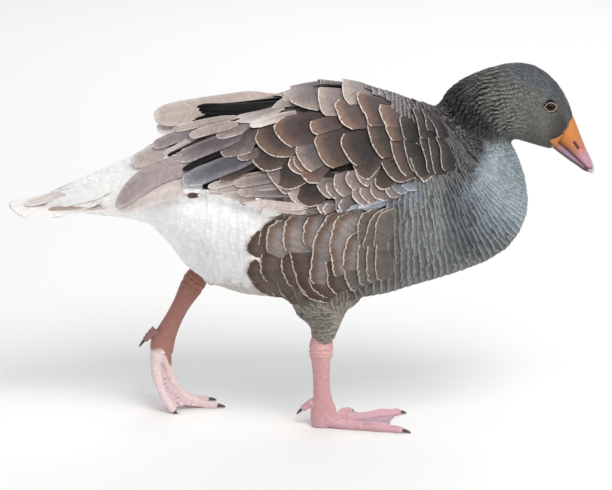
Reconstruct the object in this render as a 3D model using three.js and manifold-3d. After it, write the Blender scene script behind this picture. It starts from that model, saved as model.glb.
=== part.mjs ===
// A life-size grey domestic goose of the greylag type, walking, as a still display model.
// Millimetres. +X runs forward along the bird, +Y to its left, +Z up. The floor is Z = 0,
// and the origin lies on the floor under the middle of the bird's bounding box.
import * as THREE from 'three';
import { mergeVertices } from 'three/addons/utils/BufferGeometryUtils.js';
import Module from 'manifold-3d';

const wasm = await Module();
wasm.setup();

// ---------------------------------------------------------------- driving dimensions

const GAP = 0.35; // clearance between two neighbouring solids
const BODY_SIDES = 20;
const BODY_STEPS = 34;
const RIGHT = -1;
const LEFT = 1;

const EYE = { radius: 8, at: [283.8, 18.6, 373] };
const NAIL_CUT = { at: [327.5, 0, 304], tiltDeg: 37 };
const CLAW_LENGTH = 10;
const VANE_THICKNESS = 3; // a stack of overlapping feathers
const WEB_THICKNESS = 1.8;

// The plumage outline from the tail root to the face. Each section is an oval across the
// bird, given by its upper and lower point in the middle plane and its half width.
// pear widens the lower half. wing is how far the folded wing stands off the trunk there.
const BODY = [
  { part: 'covert tips', top: [-288, 265], bottom: [-282, 250], halfWidth: 20, pear: 0, wing: -2 },
  { part: 'tail coverts', top: [-246, 287], bottom: [-240, 245], halfWidth: 32, pear: 0, wing: -2 },
  { part: 'tail root', top: [-208, 303], bottom: [-203, 241], halfWidth: 43, pear: 0, wing: -2 },
  { part: 'vent', top: [-178, 318], bottom: [-172, 235], halfWidth: 54, pear: 0, wing: 0 },
  { part: 'rump', top: [-147, 334], bottom: [-145, 206], halfWidth: 68, pear: 0, wing: 5 },
  { part: 'hip', top: [-115, 348], bottom: [-118, 172], halfWidth: 81, pear: 0.02, wing: 8 },
  { part: 'loin', top: [-70, 365], bottom: [-70, 153], halfWidth: 93, pear: 0.03, wing: 10 },
  { part: 'back', top: [-15, 381], bottom: [-20, 147], halfWidth: 99, pear: 0.04, wing: 11 },
  { part: 'middle', top: [40, 390], bottom: [40, 144], halfWidth: 101, pear: 0.05, wing: 11 },
  { part: 'shoulder', top: [92, 383], bottom: [92, 151], halfWidth: 98, pear: 0.05, wing: 7 },
  { part: 'mantle', top: [127, 374.5], bottom: [132, 163], halfWidth: 92, pear: 0.06, wing: 3 },
  { part: 'chest', top: [148, 369.5], bottom: [170, 174.5], halfWidth: 84, pear: 0.1, wing: 1 },
  { part: 'keel', top: [154, 370], bottom: [207, 187.5], halfWidth: 76, pear: 0.18, wing: 0 },
  { part: 'breast', top: [157, 370.5], bottom: [237, 205], halfWidth: 69, pear: 0.26, wing: -2 },
  { part: 'breast front', top: [159, 372], bottom: [255, 230], halfWidth: 62, pear: 0.3, wing: -2 },
  { part: 'crop', top: [161, 374], bottom: [261, 257], halfWidth: 56, pear: 0.3, wing: -2 },
  { part: 'neck base', top: [163, 378], bottom: [257, 288], halfWidth: 50, pear: 0.26, wing: -2 },
  { part: 'lower neck', top: [168, 385], bottom: [247.5, 313], halfWidth: 44, pear: 0.18, wing: -2 },
  { part: 'throat', top: [179, 396], bottom: [237.5, 332], halfWidth: 39.5, pear: 0.08, wing: -2 },
  { part: 'upper neck', top: [197, 405.5], bottom: [238, 334.5], halfWidth: 36, pear: 0.02, wing: -2 },
  { part: 'nape', top: [219, 414.5], bottom: [243, 333.5], halfWidth: 33, pear: 0, wing: -2 },
  { part: 'hind crown', top: [242, 420], bottom: [250, 331.5], halfWidth: 31, pear: 0, wing: -2 },
  { part: 'crown', top: [263, 418.5], bottom: [258, 329], halfWidth: 29.5, pear: 0, wing: -2 },
  { part: 'brow', top: [281, 408.5], bottom: [266, 326.5], halfWidth: 28, pear: 0.04, wing: -2 },
  { part: 'forehead', top: [296, 392.5], bottom: [275, 324], halfWidth: 25.5, pear: 0.08, wing: -2 },
  { part: 'lores', top: [305.5, 375.5], bottom: [282, 322], halfWidth: 21.5, pear: 0.12, wing: -2 },
  { part: 'bill base', top: [311.5, 358], bottom: [287.5, 320.5], halfWidth: 16.5, pear: 0.12, wing: -2 },
];

// Cuts through the plumage, each along a line in the middle plane from a point on the upper
// outline to one on the lower outline.
const CUTS = {
  trunkFromNeck: { from: [157, 370], to: [259, 238] },
  neckHalves: { from: [168, 386], to: [241, 333] },
  neckFromHead: { from: [234, 420], to: [256, 329.5] },
  trunkFromCoverts: { from: [-206, 306], to: [-206, 240] },
};

// Sections across the bill, from inside the face to the tip.
const UPPER_BILL = [
  { top: [306, 366], bottom: [281, 335], halfWidth: 15.5, pear: 0.1 },
  { top: [312.3, 356.5], bottom: [288.5, 330], halfWidth: 15.5, pear: 0.12 },
  { top: [317.8, 343], bottom: [296, 322], halfWidth: 14.4, pear: 0.14 },
  { top: [322.8, 330.5], bottom: [305, 314], halfWidth: 13.2, pear: 0.16 },
  { top: [327.8, 318.4], bottom: [313, 307], halfWidth: 12.1, pear: 0.16 },
  { top: [332.6, 308], bottom: [320.5, 300], halfWidth: 10.8, pear: 0.14 },
  { top: [335.4, 300.5], bottom: [327.5, 294.5], halfWidth: 8.4, pear: 0.08 },
  { top: [336, 295.5], bottom: [333, 292.5], halfWidth: 4, pear: 0 },
];
const LOWER_BILL = [
  { top: [281, 338], bottom: [280, 324], halfWidth: 13, pear: 0 },
  { top: [290, 334], bottom: [287.2, 320.6], halfWidth: 13, pear: 0 },
  { top: [299, 324], bottom: [296.5, 313.2], halfWidth: 12, pear: 0 },
  { top: [309, 315], bottom: [308, 305.4], halfWidth: 10.6, pear: 0 },
  { top: [317.5, 306.5], bottom: [316.8, 299], halfWidth: 9.2, pear: 0 },
  { top: [325, 299], bottom: [324.5, 294], halfWidth: 7, pear: 0 },
];

// Side outline of the folded wing: coverts and scapulars, from the dorsal line at the
// shoulder, round the rear, and forward along the lower edge.
const WING_OUTLINE = [
  [151, 380], [100, 400], [40, 404], [0, 388], [-57, 365], [-98, 349], [-138, 331],
  [-166, 316], [-176, 302], [-166, 288], [-140, 282], [-101, 285], [-48, 278], [-9, 268],
  [52, 273], [98, 284], [128, 296], [149, 318], [158, 346],
];
const WING_INSET = 5; // half the strip of back left between the two wings
const WING_REACH = 150; // how far the wing's outline is swept outwards

// Long feathers as flat leaves: root, tip, width and the way the leaf faces.
// sag bends the middle of the leaf towards the way it faces.
const TERTIALS = {
  right: [
    { root: [-78, -80, 318], tip: [-216, -47, 259], width: 44, facing: [-0.1, -0.92, 0.38], sag: 9 },
    { root: [-80, -77, 330], tip: [-202, -50, 289], width: 44, facing: [-0.1, -0.9, 0.42], sag: 9 },
    { root: [-82, -73, 342], tip: [-178, -51, 318], width: 42, facing: [-0.1, -0.88, 0.46], sag: 7 },
  ],
  left: [
    { root: [-78, 79, 318], tip: [-198, 52, 284], width: 44, facing: [-0.1, 0.9, 0.42], sag: 9 },
    { root: [-80, 76, 332], tip: [-186, 52, 314], width: 44, facing: [-0.1, 0.88, 0.46], sag: 9 },
    { root: [-76, 70, 347], tip: [-167, 47, 345], width: 44, facing: [-0.1, 0.85, 0.5], sag: 7 },
  ],
};
const PRIMARIES = {
  right: [
    { root: [0, -16, 389], tip: [-121, 7, 363], width: 22, facing: [-0.1, -0.35, 0.93], sag: 6 },
    { root: [-2, -8, 390], tip: [-112, 14, 368], width: 22, facing: [-0.1, -0.2, 0.97], sag: 6 },
  ],
  left: [
    { root: [-8, 18, 387], tip: [-118, 16, 356], width: 22, facing: [-0.1, 0.3, 0.95], sag: 6 },
    { root: [-12, 26, 384], tip: [-128, 24, 351], width: 22, facing: [-0.1, 0.45, 0.89], sag: 6 },
  ],
};

// The tail is a fan of flat feathers on a gently arched line.
const TAIL = {
  feathers: 7, root: [-200, 264], tipX: -336, tipZ: 246, spreadY: 50, rootSpreadY: 22,
  cornerBack: 18, cornerDrop: -2, width: 28, layer: 0.7, thickness: 1.6,
};

// Limbs as tapering tubes: centre points with the tube's half depth fore and aft and half width
// across the bird.
const THIGH_RIGHT = [
  { at: [34, -46, 196], deep: 46, wide: 34 },
  { at: [28, -45, 168], deep: 46, wide: 30 },
  { at: [25.5, -42, 149], deep: 37, wide: 24 },
  { at: [27.5, -39, 134], deep: 25, wide: 18.5 },
  { at: [28, -37, 119], deep: 16, wide: 14 },
  { at: [25, -36, 102], deep: 12.2, wide: 11.5 },
];
const THIGH_LEFT = [
  { at: [-58, 46, 200], deep: 36, wide: 30 },
  { at: [-84, 42, 182], deep: 30, wide: 25 },
  { at: [-104, 38, 168], deep: 20, wide: 17 },
  { at: [-114, 36.5, 160], deep: 14, wide: 12.5 },
];
const SHANK_RIGHT = [
  { at: [24.8, -36, 108], deep: 11, wide: 9.5 },
  { at: [24.4, -36, 98], deep: 13.2, wide: 11 },
  { at: [24.2, -36, 88], deep: 13.4, wide: 11 },
  { at: [24.2, -36, 76], deep: 10.8, wide: 8.6 },
  { at: [24.7, -35.7, 56], deep: 9.6, wide: 7.4 },
  { at: [25.6, -35.3, 36], deep: 10.6, wide: 7.8 },
  { at: [27, -35, 20], deep: 14.5, wide: 9.6 },
  { at: [27.5, -35, 9], deep: 15.5, wide: 10.5 },
  { at: [27.5, -35, 0], deep: 14, wide: 9.4 },
];
const SHANK_LEFT = [
  { at: [-115, 36.5, 165], deep: 11.5, wide: 10 },
  { at: [-121, 36.3, 157], deep: 13.4, wide: 11 },
  { at: [-128, 36, 145], deep: 13, wide: 10.6 },
  { at: [-137.5, 36, 128], deep: 10.4, wide: 8.4 },
  { at: [-147, 36, 110], deep: 10.2, wide: 7.6 },
  { at: [-155, 36, 94], deep: 12, wide: 8.4 },
  { at: [-160, 36, 82], deep: 13.8, wide: 9.8 },
  { at: [-162, 36, 70], deep: 13.6, wide: 10.4 },
];

// Toe centre lines from the ball of the foot to the root of the claw, with the tube's radius.
const TOES = {
  right: {
    inner: { path: [[33, -31, 8], [43, -8, 4.2], [52, 10, 4], [58, 21, 2.6]], radius: [7.5, 5, 5, 3.4] },
    middle: {
      path: [[34, -33, 9], [62, -18, 4.8], [84, -6, 4.8], [104, 6, 4], [116, 13, 2.8]],
      radius: [9, 5.6, 5.8, 5, 3.6],
    },
    outer: {
      path: [[32, -38, 8], [54, -45, 4.6], [78, -51, 4.6], [102, -57, 4], [118, -61, 2.8]],
      radius: [8, 5.4, 5.6, 5, 3.6],
    },
    hind: { path: [[16, -33, 28], [9, -30, 24], [3, -28, 19]], radius: [6, 4.4, 3.4] },
  },
  left: {
    inner: {
      path: [[-167, 31, 70], [-168, 25, 50], [-162, 20, 28], [-153, 18, 11], [-147, 17, 2.8]],
      radius: [8.5, 5.8, 5.2, 4.8, 3.6],
    },
    middle: {
      path: [[-159, 36, 68], [-155, 38, 48], [-146, 40, 27], [-130, 41, 11], [-112, 41, 4], [-97, 41, 2.8]],
      radius: [9, 6, 5.8, 5.4, 4.8, 3.6],
    },
    outer: {
      path: [[-161, 41, 68], [-160, 49, 48], [-152, 57, 27], [-138, 63, 11], [-121, 66, 3.8], [-108, 68, 2.8]],
      radius: [8, 5.6, 5.4, 5.2, 4.6, 3.6],
    },
    hind: { path: [[-168, 34, 97], [-175, 32, 91], [-181, 31, 85]], radius: [5.6, 4.4, 3.2] },
  },
};
const WEB_END = 0.93; // share of the toe that the web reaches along each side
const WEB_NOTCH = 0.17; // how far the web's free edge is hollowed between two toes

const COLOURS = {
  plumage: 0x6d6860, neck: 0x55544f, breast: 0x8a8d8c, coverts: 0xd9d9d6, wing: 0x6b5648, tertials: 0x9a8d86,
  primaries: 0x2a2625, tail: 0xcfc7c0, bill: 0xe88433, nail: 0xd9b8bd, leg: 0xd49a95, foot: 0xdba3a3,
  claw: 0x3c3a38, eye: 0x2a1710,
};

// ---------------------------------------------------------------- shape helpers

/** A manifold-3d solid from a closed three.js geometry. */
function solidFrom(geometry) {
  const bare = geometry.clone();
  for (const name of ['normal', 'uv']) bare.deleteAttribute(name);
  const merged = mergeVertices(bare, 1e-4);
  return new wasm.Manifold(new wasm.Mesh({
    numProp: 3,
    vertProperties: new Float32Array(merged.attributes.position.array),
    triVerts: new Uint32Array(merged.index.array),
  }));
}

/** A three.js geometry from a manifold-3d solid. */
function geometryFrom(solid) {
  const mesh = solid.getMesh();
  const geometry = new THREE.BufferGeometry();
  geometry.setAttribute('position', new THREE.BufferAttribute(new Float32Array(mesh.vertProperties), 3));
  geometry.setIndex(new THREE.BufferAttribute(new Uint32Array(mesh.triVerts), 1));
  return geometry;
}

/** A closed solid whose wall joins one ring of points to the next, with a fan over each end. */
function solidFromRings(rings) {
  const sides = rings[0].length;
  const points = rings.flat();
  for (const ring of [rings[0], rings.at(-1)]) {
    const middle = ring.reduce((sum, p) => sum.add(p), new THREE.Vector3()).divideScalar(sides);
    points.push(middle);
  }
  const [firstHub, lastHub] = [points.length - 2, points.length - 1];
  const lastStart = (rings.length - 1) * sides;
  const faces = [];
  for (let i = 0; i < sides; i++) {
    const next = (i + 1) % sides;
    for (let r = 0; r + 1 < rings.length; r++) {
      const [a, b] = [r * sides + i, r * sides + next];
      faces.push(a, b, b + sides, a, b + sides, a + sides);
    }
    faces.push(firstHub, next, i, lastHub, lastStart + i, lastStart + next);
  }
  if (signedVolume(points, faces) < 0) faces.reverse();
  const geometry = new THREE.BufferGeometry().setFromPoints(points);
  geometry.setIndex(faces);
  return solidFrom(geometry);
}

/** Six times the volume inside the faces, negative where they point inwards. */
function signedVolume(points, faces) {
  let sum = 0;
  for (let i = 0; i < faces.length; i += 3) {
    const [a, b, c] = [points[faces[i]], points[faces[i + 1]], points[faces[i + 2]]];
    sum += a.dot(new THREE.Vector3().crossVectors(b, c));
  }
  return sum;
}

/** A smooth curve through values that may each be one number or a point. */
function smoothThrough(values) {
  const points = values.map((v) => new THREE.Vector3(...(Array.isArray(v) ? v : [v])));
  return new THREE.CatmullRomCurve3(points.map((p) => p.set(p.x, p.y || 0, p.z || 0)), false, 'catmullrom', 0.5);
}

/** A solid lofted through oval sections that each lie across the middle plane. */
function loftSections(sections, { steps, sides, grow = () => 0 }) {
  const top = smoothThrough(sections.map((s) => [s.top[0], 0, s.top[1]]));
  const bottom = smoothThrough(sections.map((s) => [s.bottom[0], 0, s.bottom[1]]));
  const shape = smoothThrough(sections.map((s) => [s.halfWidth, s.pear, grow(s)]));
  const across = new THREE.Vector3(0, 1, 0);
  const rings = [];
  for (let i = 0; i <= steps; i++) {
    const t = i / steps;
    const { x: halfWidth, y: pear, z: extra } = shape.getPoint(t);
    const upper = top.getPoint(t);
    const lower = bottom.getPoint(t);
    const middle = upper.clone().add(lower).multiplyScalar(0.5);
    const up = upper.clone().sub(lower);
    const halfHeight = up.length() / 2 + extra;
    up.normalize();
    rings.push(Array.from({ length: sides }, (_, k) => {
      const angle = (2 * Math.PI * k) / sides;
      const rise = Math.cos(angle);
      const out = Math.sin(angle) * (halfWidth + extra) * (1 - pear * rise);
      return middle.clone().addScaledVector(up, halfHeight * rise).addScaledVector(across, out);
    }));
  }
  return solidFromRings(rings);
}

/** A tapering limb along its centre points, deep fore and aft and wide across the bird. */
function limb(stations, { steps, sides = 16, grow = 0 }) {
  const centre = smoothThrough(stations.map((s) => s.at));
  const size = smoothThrough(stations.map((s) => [s.deep, s.wide]));
  const across = new THREE.Vector3(0, 1, 0);
  const rings = [];
  for (let i = 0; i <= steps; i++) {
    const t = i / steps;
    const { x: deep, y: wide } = size.getPoint(t);
    const along = centre.getTangent(t);
    const fore = new THREE.Vector3().crossVectors(across, along).normalize();
    const side = new THREE.Vector3().crossVectors(along, fore).normalize();
    rings.push(Array.from({ length: sides }, (_, k) => {
      const angle = (2 * Math.PI * k) / sides;
      return centre.getPoint(t)
        .addScaledVector(fore, (deep + grow) * Math.cos(angle))
        .addScaledVector(side, (wide + grow) * Math.sin(angle));
    }));
  }
  return solidFromRings(rings);
}

/** A round tube along a path, whose radius runs smoothly through the given values. */
function tube(path, radii, { steps, sides = 10, grow = 0 }) {
  const centre = smoothThrough(path);
  const radius = smoothThrough(radii);
  const frames = centre.computeFrenetFrames(steps, false);
  const rings = [];
  for (let i = 0; i <= steps; i++) {
    const r = radius.getPoint(i / steps).x + grow;
    rings.push(Array.from({ length: sides }, (_, k) => {
      const angle = (2 * Math.PI * k) / sides;
      return centre.getPointAt(i / steps)
        .addScaledVector(frames.normals[i], r * Math.cos(angle))
        .addScaledVector(frames.binormals[i], r * Math.sin(angle));
    }));
  }
  return solidFromRings(rings);
}

/** Half the width of a feather at a share of its length, from 0 at the quill to 1 at the tip. */
function vaneHalfWidth(width, share) {
  const opening = Math.min(1, 0.5 + 1.4 * share);
  const rounding = Math.sqrt(Math.max(0, 1 - Math.max(0, (share - 0.72) / 0.29) ** 2));
  return (width / 2) * opening * Math.max(rounding, 0.12);
}

/** One long feather as a flat leaf of even thickness. */
function vane({ root, tip, width, facing, sag, thickness = VANE_THICKNESS }) {
  const steps = 5;
  const start = new THREE.Vector3(...root);
  const end = new THREE.Vector3(...tip);
  const face = new THREE.Vector3(...facing).normalize();
  const across = new THREE.Vector3().crossVectors(end.clone().sub(start), face).normalize();
  const rings = [];
  for (let i = 0; i <= steps; i++) {
    const share = i / steps;
    const half = vaneHalfWidth(width, share);
    const middle = start.clone().lerp(end, share).addScaledVector(face, sag * 4 * share * (1 - share));
    const corner = (side, level) => middle.clone()
      .addScaledVector(across, side * half)
      .addScaledVector(face, (level * thickness) / 2 - (side ? half * 0.06 : 0));
    rings.push([corner(-1, -1), corner(0, -1), corner(1, -1), corner(1, 1), corner(0, 1), corner(-1, 1)]);
  }
  return solidFromRings(rings);
}

/** A box that fills one side of a plane across the middle plane, for cutting. */
function halfSpace({ from, to }, side) {
  const size = 2000;
  const box = new THREE.BoxGeometry(size, size, size);
  const along = new THREE.Vector2(to[0] - from[0], to[1] - from[1]).normalize();
  const normal = new THREE.Vector3(-along.y, 0, along.x).multiplyScalar(side);
  box.applyMatrix4(new THREE.Matrix4().makeBasis(
    new THREE.Vector3(along.x, 0, along.y),
    new THREE.Vector3(0, 1, 0).multiplyScalar(side),
    normal,
  ));
  const centre = new THREE.Vector3((from[0] + to[0]) / 2, 0, (from[1] + to[1]) / 2)
    .addScaledVector(normal, size / 2 + GAP / 2);
  box.translate(centre.x, centre.y, centre.z);
  return solidFrom(box);
}

/** The largest of the separate bodies in a solid. */
function mainBody(solid) {
  return solid.decompose().reduce((best, body) => (body.volume() > best.volume() ? body : best));
}

/** All the given solids joined. */
function join(solids) {
  return solids.reduce((sum, solid) => sum.add(solid));
}

// ---------------------------------------------------------------- the bird

const group = new THREE.Group();

/** Adds one named solid to the model. */
function addNode(name, solid, colour, roughness = 0.8) {
  const material = new THREE.MeshStandardMaterial({ color: colour, roughness, metalness: 0 });
  const mesh = new THREE.Mesh(geometryFrom(mainBody(solid)), material);
  mesh.name = name;
  group.add(mesh);
}

/** The whole plumage from the covert tips to the face, enlarged by the given amount. */
function plumage(extra = 0) {
  return loftSections(BODY, { steps: BODY_STEPS, sides: BODY_SIDES, grow: () => extra });
}

/** A slanting plane across the bill, given by a point and a tilt from level. */
function billPlane({ at, tiltDeg }) {
  const tilt = THREE.MathUtils.degToRad(tiltDeg);
  return {
    from: [at[0] - Math.cos(tilt) * 30, at[2] - Math.sin(tilt) * 30],
    to: [at[0] + Math.cos(tilt) * 30, at[2] + Math.sin(tilt) * 30],
  };
}

/** A ball of the eye's size on one side of the head. */
function eyeBall(side, extra = 0) {
  const ball = new THREE.SphereGeometry(EYE.radius + extra, 14, 8);
  ball.translate(EYE.at[0], side * EYE.at[1], EYE.at[2]);
  return solidFrom(ball);
}

/** The prism that a wing's side outline sweeps out from the back towards one side. */
function wingPrism(side) {
  const outline = new THREE.Shape();
  const points = WING_OUTLINE.map(([x, z]) => new THREE.Vector2(x, z));
  outline.moveTo(points[0].x, points[0].y);
  outline.splineThru(points.slice(1));
  outline.closePath();
  const prism = new THREE.ExtrudeGeometry(outline, { depth: WING_REACH, bevelEnabled: false, curveSegments: 3 });
  prism.rotateX(Math.PI / 2);
  prism.translate(0, side === LEFT ? WING_REACH + WING_INSET : -WING_INSET, 0);
  return solidFrom(prism);
}

/** The web between two toes, as a thin sheet hollowed at its free edge. */
function web(toeA, toeB) {
  const [a, b] = [smoothThrough(toeA.path), smoothThrough(toeB.path)];
  const [lengthSteps, widthSteps] = [4, 3];
  const rings = [];
  for (let i = 0; i <= lengthSteps; i++) {
    const upper = [];
    const lower = [];
    for (let j = 0; j <= widthSteps; j++) {
      const across = j / widthSteps;
      const reach = (i / lengthSteps) * (WEB_END - WEB_NOTCH * 4 * across * (1 - across));
      const at = a.getPoint(reach).lerp(b.getPoint(reach), across);
      const along = a.getTangent(reach).lerp(b.getTangent(reach), across);
      const over = b.getPoint(reach).sub(a.getPoint(reach));
      const normal = new THREE.Vector3().crossVectors(along, over).normalize();
      upper.push(at.clone().addScaledVector(normal, WEB_THICKNESS / 2));
      lower.unshift(at.clone().addScaledVector(normal, -WEB_THICKNESS / 2));
    }
    rings.push([...upper, ...lower]);
  }
  return solidFromRings(rings);
}

/** A hooked claw that grows from the end of a toe. */
function claw(toe, extra = 0) {
  const path = smoothThrough(toe.path);
  const radius = toe.radius.at(-1);
  const end = path.getPoint(1);
  const along = path.getTangent(1);
  const point = (reach, rise) => end.clone().addScaledVector(along, reach).add(new THREE.Vector3(0, 0, rise)).toArray();
  const length = CLAW_LENGTH + extra;
  return tube(
    [point(-1.5, 1), point(length * 0.45, 0.8), point(length, -radius * 0.55)],
    [radius * 0.72, radius * 0.5, 0.45],
    { steps: 3, sides: 5, grow: extra },
  );
}

const floorUp = solidFrom(new THREE.BoxGeometry(2000, 2000, 1000).translate(0, 0, 500));
const sideNames = { [RIGHT]: 'right', [LEFT]: 'left' };
const whole = plumage();
const wholeGrown = plumage(GAP);

// Head, with its sockets for the eyes.
const head = whole
  .intersect(halfSpace(CUTS.neckFromHead, 1))
  .subtract(eyeBall(LEFT, GAP))
  .subtract(eyeBall(RIGHT, GAP));
addNode('head', head, COLOURS.neck);
addNode('eye_right', eyeBall(RIGHT), COLOURS.eye, 0.1);
addNode('eye_left', eyeBall(LEFT), COLOURS.eye, 0.1);

// Neck in two lengths, then the trunk and its tail coverts.
addNode('neck_upper', whole
  .intersect(halfSpace(CUTS.neckFromHead, -1))
  .intersect(halfSpace(CUTS.neckHalves, 1)), COLOURS.neck);
addNode('neck_lower', whole
  .intersect(halfSpace(CUTS.neckHalves, -1))
  .intersect(halfSpace(CUTS.trunkFromNeck, 1)), COLOURS.breast);

const hull = loftSections(BODY, { steps: BODY_STEPS, sides: BODY_SIDES, grow: (s) => s.wing });
for (const side of [RIGHT, LEFT]) {
  addNode(`wing_${sideNames[side]}`, hull.intersect(wingPrism(side)).subtract(wholeGrown), COLOURS.wing);
}
const trunk = whole.intersect(halfSpace(CUTS.trunkFromNeck, -1));
addNode('trunk', trunk.intersect(halfSpace(CUTS.trunkFromCoverts, 1)), COLOURS.plumage);
addNode('tail_coverts', trunk.intersect(halfSpace(CUTS.trunkFromCoverts, -1)), COLOURS.coverts);

// Bill: upper and lower halves, and the nail at the tip.
const billOptions = { steps: 9, sides: 12 };
const upperBill = loftSections(UPPER_BILL, billOptions).subtract(wholeGrown);
const upperBillGrown = loftSections(UPPER_BILL, { ...billOptions, grow: () => GAP });
const nailPlane = billPlane(NAIL_CUT);
addNode('bill_upper', upperBill.intersect(halfSpace(nailPlane, 1)), COLOURS.bill, 0.45);
addNode('bill_nail', upperBill.intersect(halfSpace(nailPlane, -1)), COLOURS.nail, 0.4);
addNode('bill_lower', loftSections(LOWER_BILL, billOptions)
  .subtract(upperBillGrown)
  .subtract(wholeGrown), COLOURS.bill, 0.45);

// Long wing feathers, laid over the trunk and clear of the folded wings.
const hullGrown = loftSections(BODY, { steps: BODY_STEPS, sides: BODY_SIDES, grow: (s) => s.wing + GAP });
const wingVolume = join([RIGHT, LEFT].map((side) => hullGrown.intersect(wingPrism(side))));
const laid = join([wholeGrown, wingVolume]);
for (const name of Object.values(sideNames)) {
  addNode(`tertials_${name}`, join(TERTIALS[name].map((f) => vane(f))).subtract(laid), COLOURS.tertials);
  addNode(`primaries_${name}`, join(PRIMARIES[name].map((f) => vane(f))).subtract(laid), COLOURS.primaries);
}

// Tail fan.
const tailFeathers = Array.from({ length: TAIL.feathers }, (_, k) => {
  const share = (2 * k) / (TAIL.feathers - 1) - 1;
  const over = (1 - Math.abs(share)) * TAIL.layer * (TAIL.feathers / 2);
  return vane({
    root: [TAIL.root[0], share * TAIL.rootSpreadY, TAIL.root[1] + over],
    tip: [
      TAIL.tipX + TAIL.cornerBack * share ** 2,
      share * (TAIL.spreadY - TAIL.width / 2),
      TAIL.tipZ - TAIL.cornerDrop * share ** 2 + over,
    ],
    width: TAIL.width,
    thickness: TAIL.thickness,
    facing: [0.12, share * 0.22, 1],
    sag: 3,
  });
});
addNode('tail', join(tailFeathers).subtract(wholeGrown), COLOURS.tail);

// Legs and feet.
const limbs = {
  right: { thigh: THIGH_RIGHT, shank: SHANK_RIGHT },
  left: { thigh: THIGH_LEFT, shank: SHANK_LEFT },
};
for (const [name, { thigh, shank }] of Object.entries(limbs)) {
  const shankSteps = { steps: 9, sides: 10 };
  const leg = limb(shank, shankSteps);
  addNode(`thigh_${name}`, limb(thigh, { steps: 6, sides: 14 })
    .subtract(wholeGrown)
    .subtract(limb(shank, { ...shankSteps, grow: GAP })), COLOURS.plumage);
  const toes = TOES[name];
  const toeTube = (toe) => tube(toe.path, toe.radius, { steps: 5, sides: 7 });
  const bones = ['inner', 'middle', 'outer', 'hind'];
  const claws = join(bones.map((toe) => claw(toes[toe], GAP)));
  const foot = join([
    ...['inner', 'middle', 'outer'].map((toe) => toeTube(toes[toe])),
    web(toes.inner, toes.middle),
    web(toes.middle, toes.outer),
  ]);
  const lower = join([leg, toeTube(toes.hind)]);
  addNode(`shank_${name}`, lower.subtract(wholeGrown).subtract(claws).intersect(floorUp), COLOURS.leg, 0.6);
  addNode(`foot_${name}`, foot
    .subtract(limb(shank, { ...shankSteps, grow: GAP }))
    .subtract(claws)
    .intersect(floorUp), COLOURS.foot, 0.6);
  for (const toe of bones) {
    addNode(`claw_${name}_${toe}`, claw(toes[toe]).intersect(floorUp), COLOURS.claw, 0.4);
  }
}

export default group;
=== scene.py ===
"""A life-size grey domestic goose, walking: its skin, plumage, bill, eyes, legs and feet.

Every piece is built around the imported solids, in metres, with +X forward along the bird, +Y to its
left and +Z up. Sizes that are easier to read in millimetres are turned to metres by MM.
"""

from __future__ import annotations

import logging
import math
from dataclasses import dataclass, field, replace
from enum import Enum
from functools import partial
from typing import Callable, Iterable, Iterator, Sequence

import bmesh
import bpy
import numpy as np
from mathutils import Matrix, Vector
from mathutils.bvhtree import BVHTree
from mathutils.kdtree import KDTree
from numpy.linalg import norm

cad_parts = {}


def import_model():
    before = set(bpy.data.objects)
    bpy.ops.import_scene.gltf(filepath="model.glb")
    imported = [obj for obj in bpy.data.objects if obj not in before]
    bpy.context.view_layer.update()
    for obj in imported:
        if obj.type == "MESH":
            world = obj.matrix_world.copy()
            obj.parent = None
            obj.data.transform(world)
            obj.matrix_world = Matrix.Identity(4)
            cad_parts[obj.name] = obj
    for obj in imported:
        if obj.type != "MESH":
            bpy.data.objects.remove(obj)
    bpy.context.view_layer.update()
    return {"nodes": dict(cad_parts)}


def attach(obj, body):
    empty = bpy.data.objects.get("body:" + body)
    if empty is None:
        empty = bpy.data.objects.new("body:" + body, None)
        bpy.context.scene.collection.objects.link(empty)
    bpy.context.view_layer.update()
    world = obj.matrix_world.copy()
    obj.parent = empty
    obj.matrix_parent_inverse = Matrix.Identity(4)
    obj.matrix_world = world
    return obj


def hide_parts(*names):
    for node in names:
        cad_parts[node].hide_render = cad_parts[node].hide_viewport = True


MM = 0.001
SEED = 20
LOG = logging.getLogger("goose")

Array = np.ndarray
Mesh = bpy.types.Mesh
Material = bpy.types.Material
Colour = tuple[float, float, float, float]
Spot = tuple[float, float, float]
Pairs = tuple[tuple[float, float], ...]
Row = tuple[float, ...]
Table = tuple[Row, ...]


class Side(Enum):
    """The bird's two sides, each with the sign of its Y."""

    RIGHT = -1
    LEFT = 1

    @property
    def label(self) -> str:
        """The side's name as the solids spell it."""
        return self.name.lower()


# ---- small helpers


def linear(code: str) -> Colour:
    """Turns an sRGB hex colour to linear light.

    Args:
        code: six hex digits.

    Returns:
        Red, green, blue and an alpha of 1.
    """
    channels = [int(code[i : i + 2], 16) / 255 for i in (0, 2, 4)]
    return tuple(c / 12.92 if c <= 0.04045 else ((c + 0.055) / 1.055) ** 2.4 for c in channels) + (1.0,)


def plain_tone(code: str, count: int) -> Array:
    """Gives one colour for each of some places."""
    return np.tile(np.array(linear(code)), (count, 1))


def blend(tone: Array, layers: Iterable[tuple[str, Array]]) -> Array:
    """Lays colours over a tone one after the other, each by its share at each place.

    Args:
        tone: one linear colour for each place.
        layers: each layer's sRGB hex colour and its shares.

    Returns:
        The blended colours.
    """
    for code, share in layers:
        tone = tone + share[:, None] * (np.array(linear(code)) - tone)
    return tone


def rise(low: float, high: float, value: Array) -> Array:
    """Rises smoothly from 0 at low to 1 at high."""
    share = np.clip((np.asarray(value, float) - low) / (high - low), 0, 1)
    return share * share * (3 - 2 * share)


def unit(vectors: Array) -> Array:
    """Scales vectors in the last axis to length 1."""
    return vectors / np.maximum(norm(vectors, axis=-1, keepdims=True), 1e-12)


def line_gap(points: Array, line: Array) -> Array:
    """Gives the distance of every point from every place on a line."""
    return norm(points[:, None] - line[None], axis=2)


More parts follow.
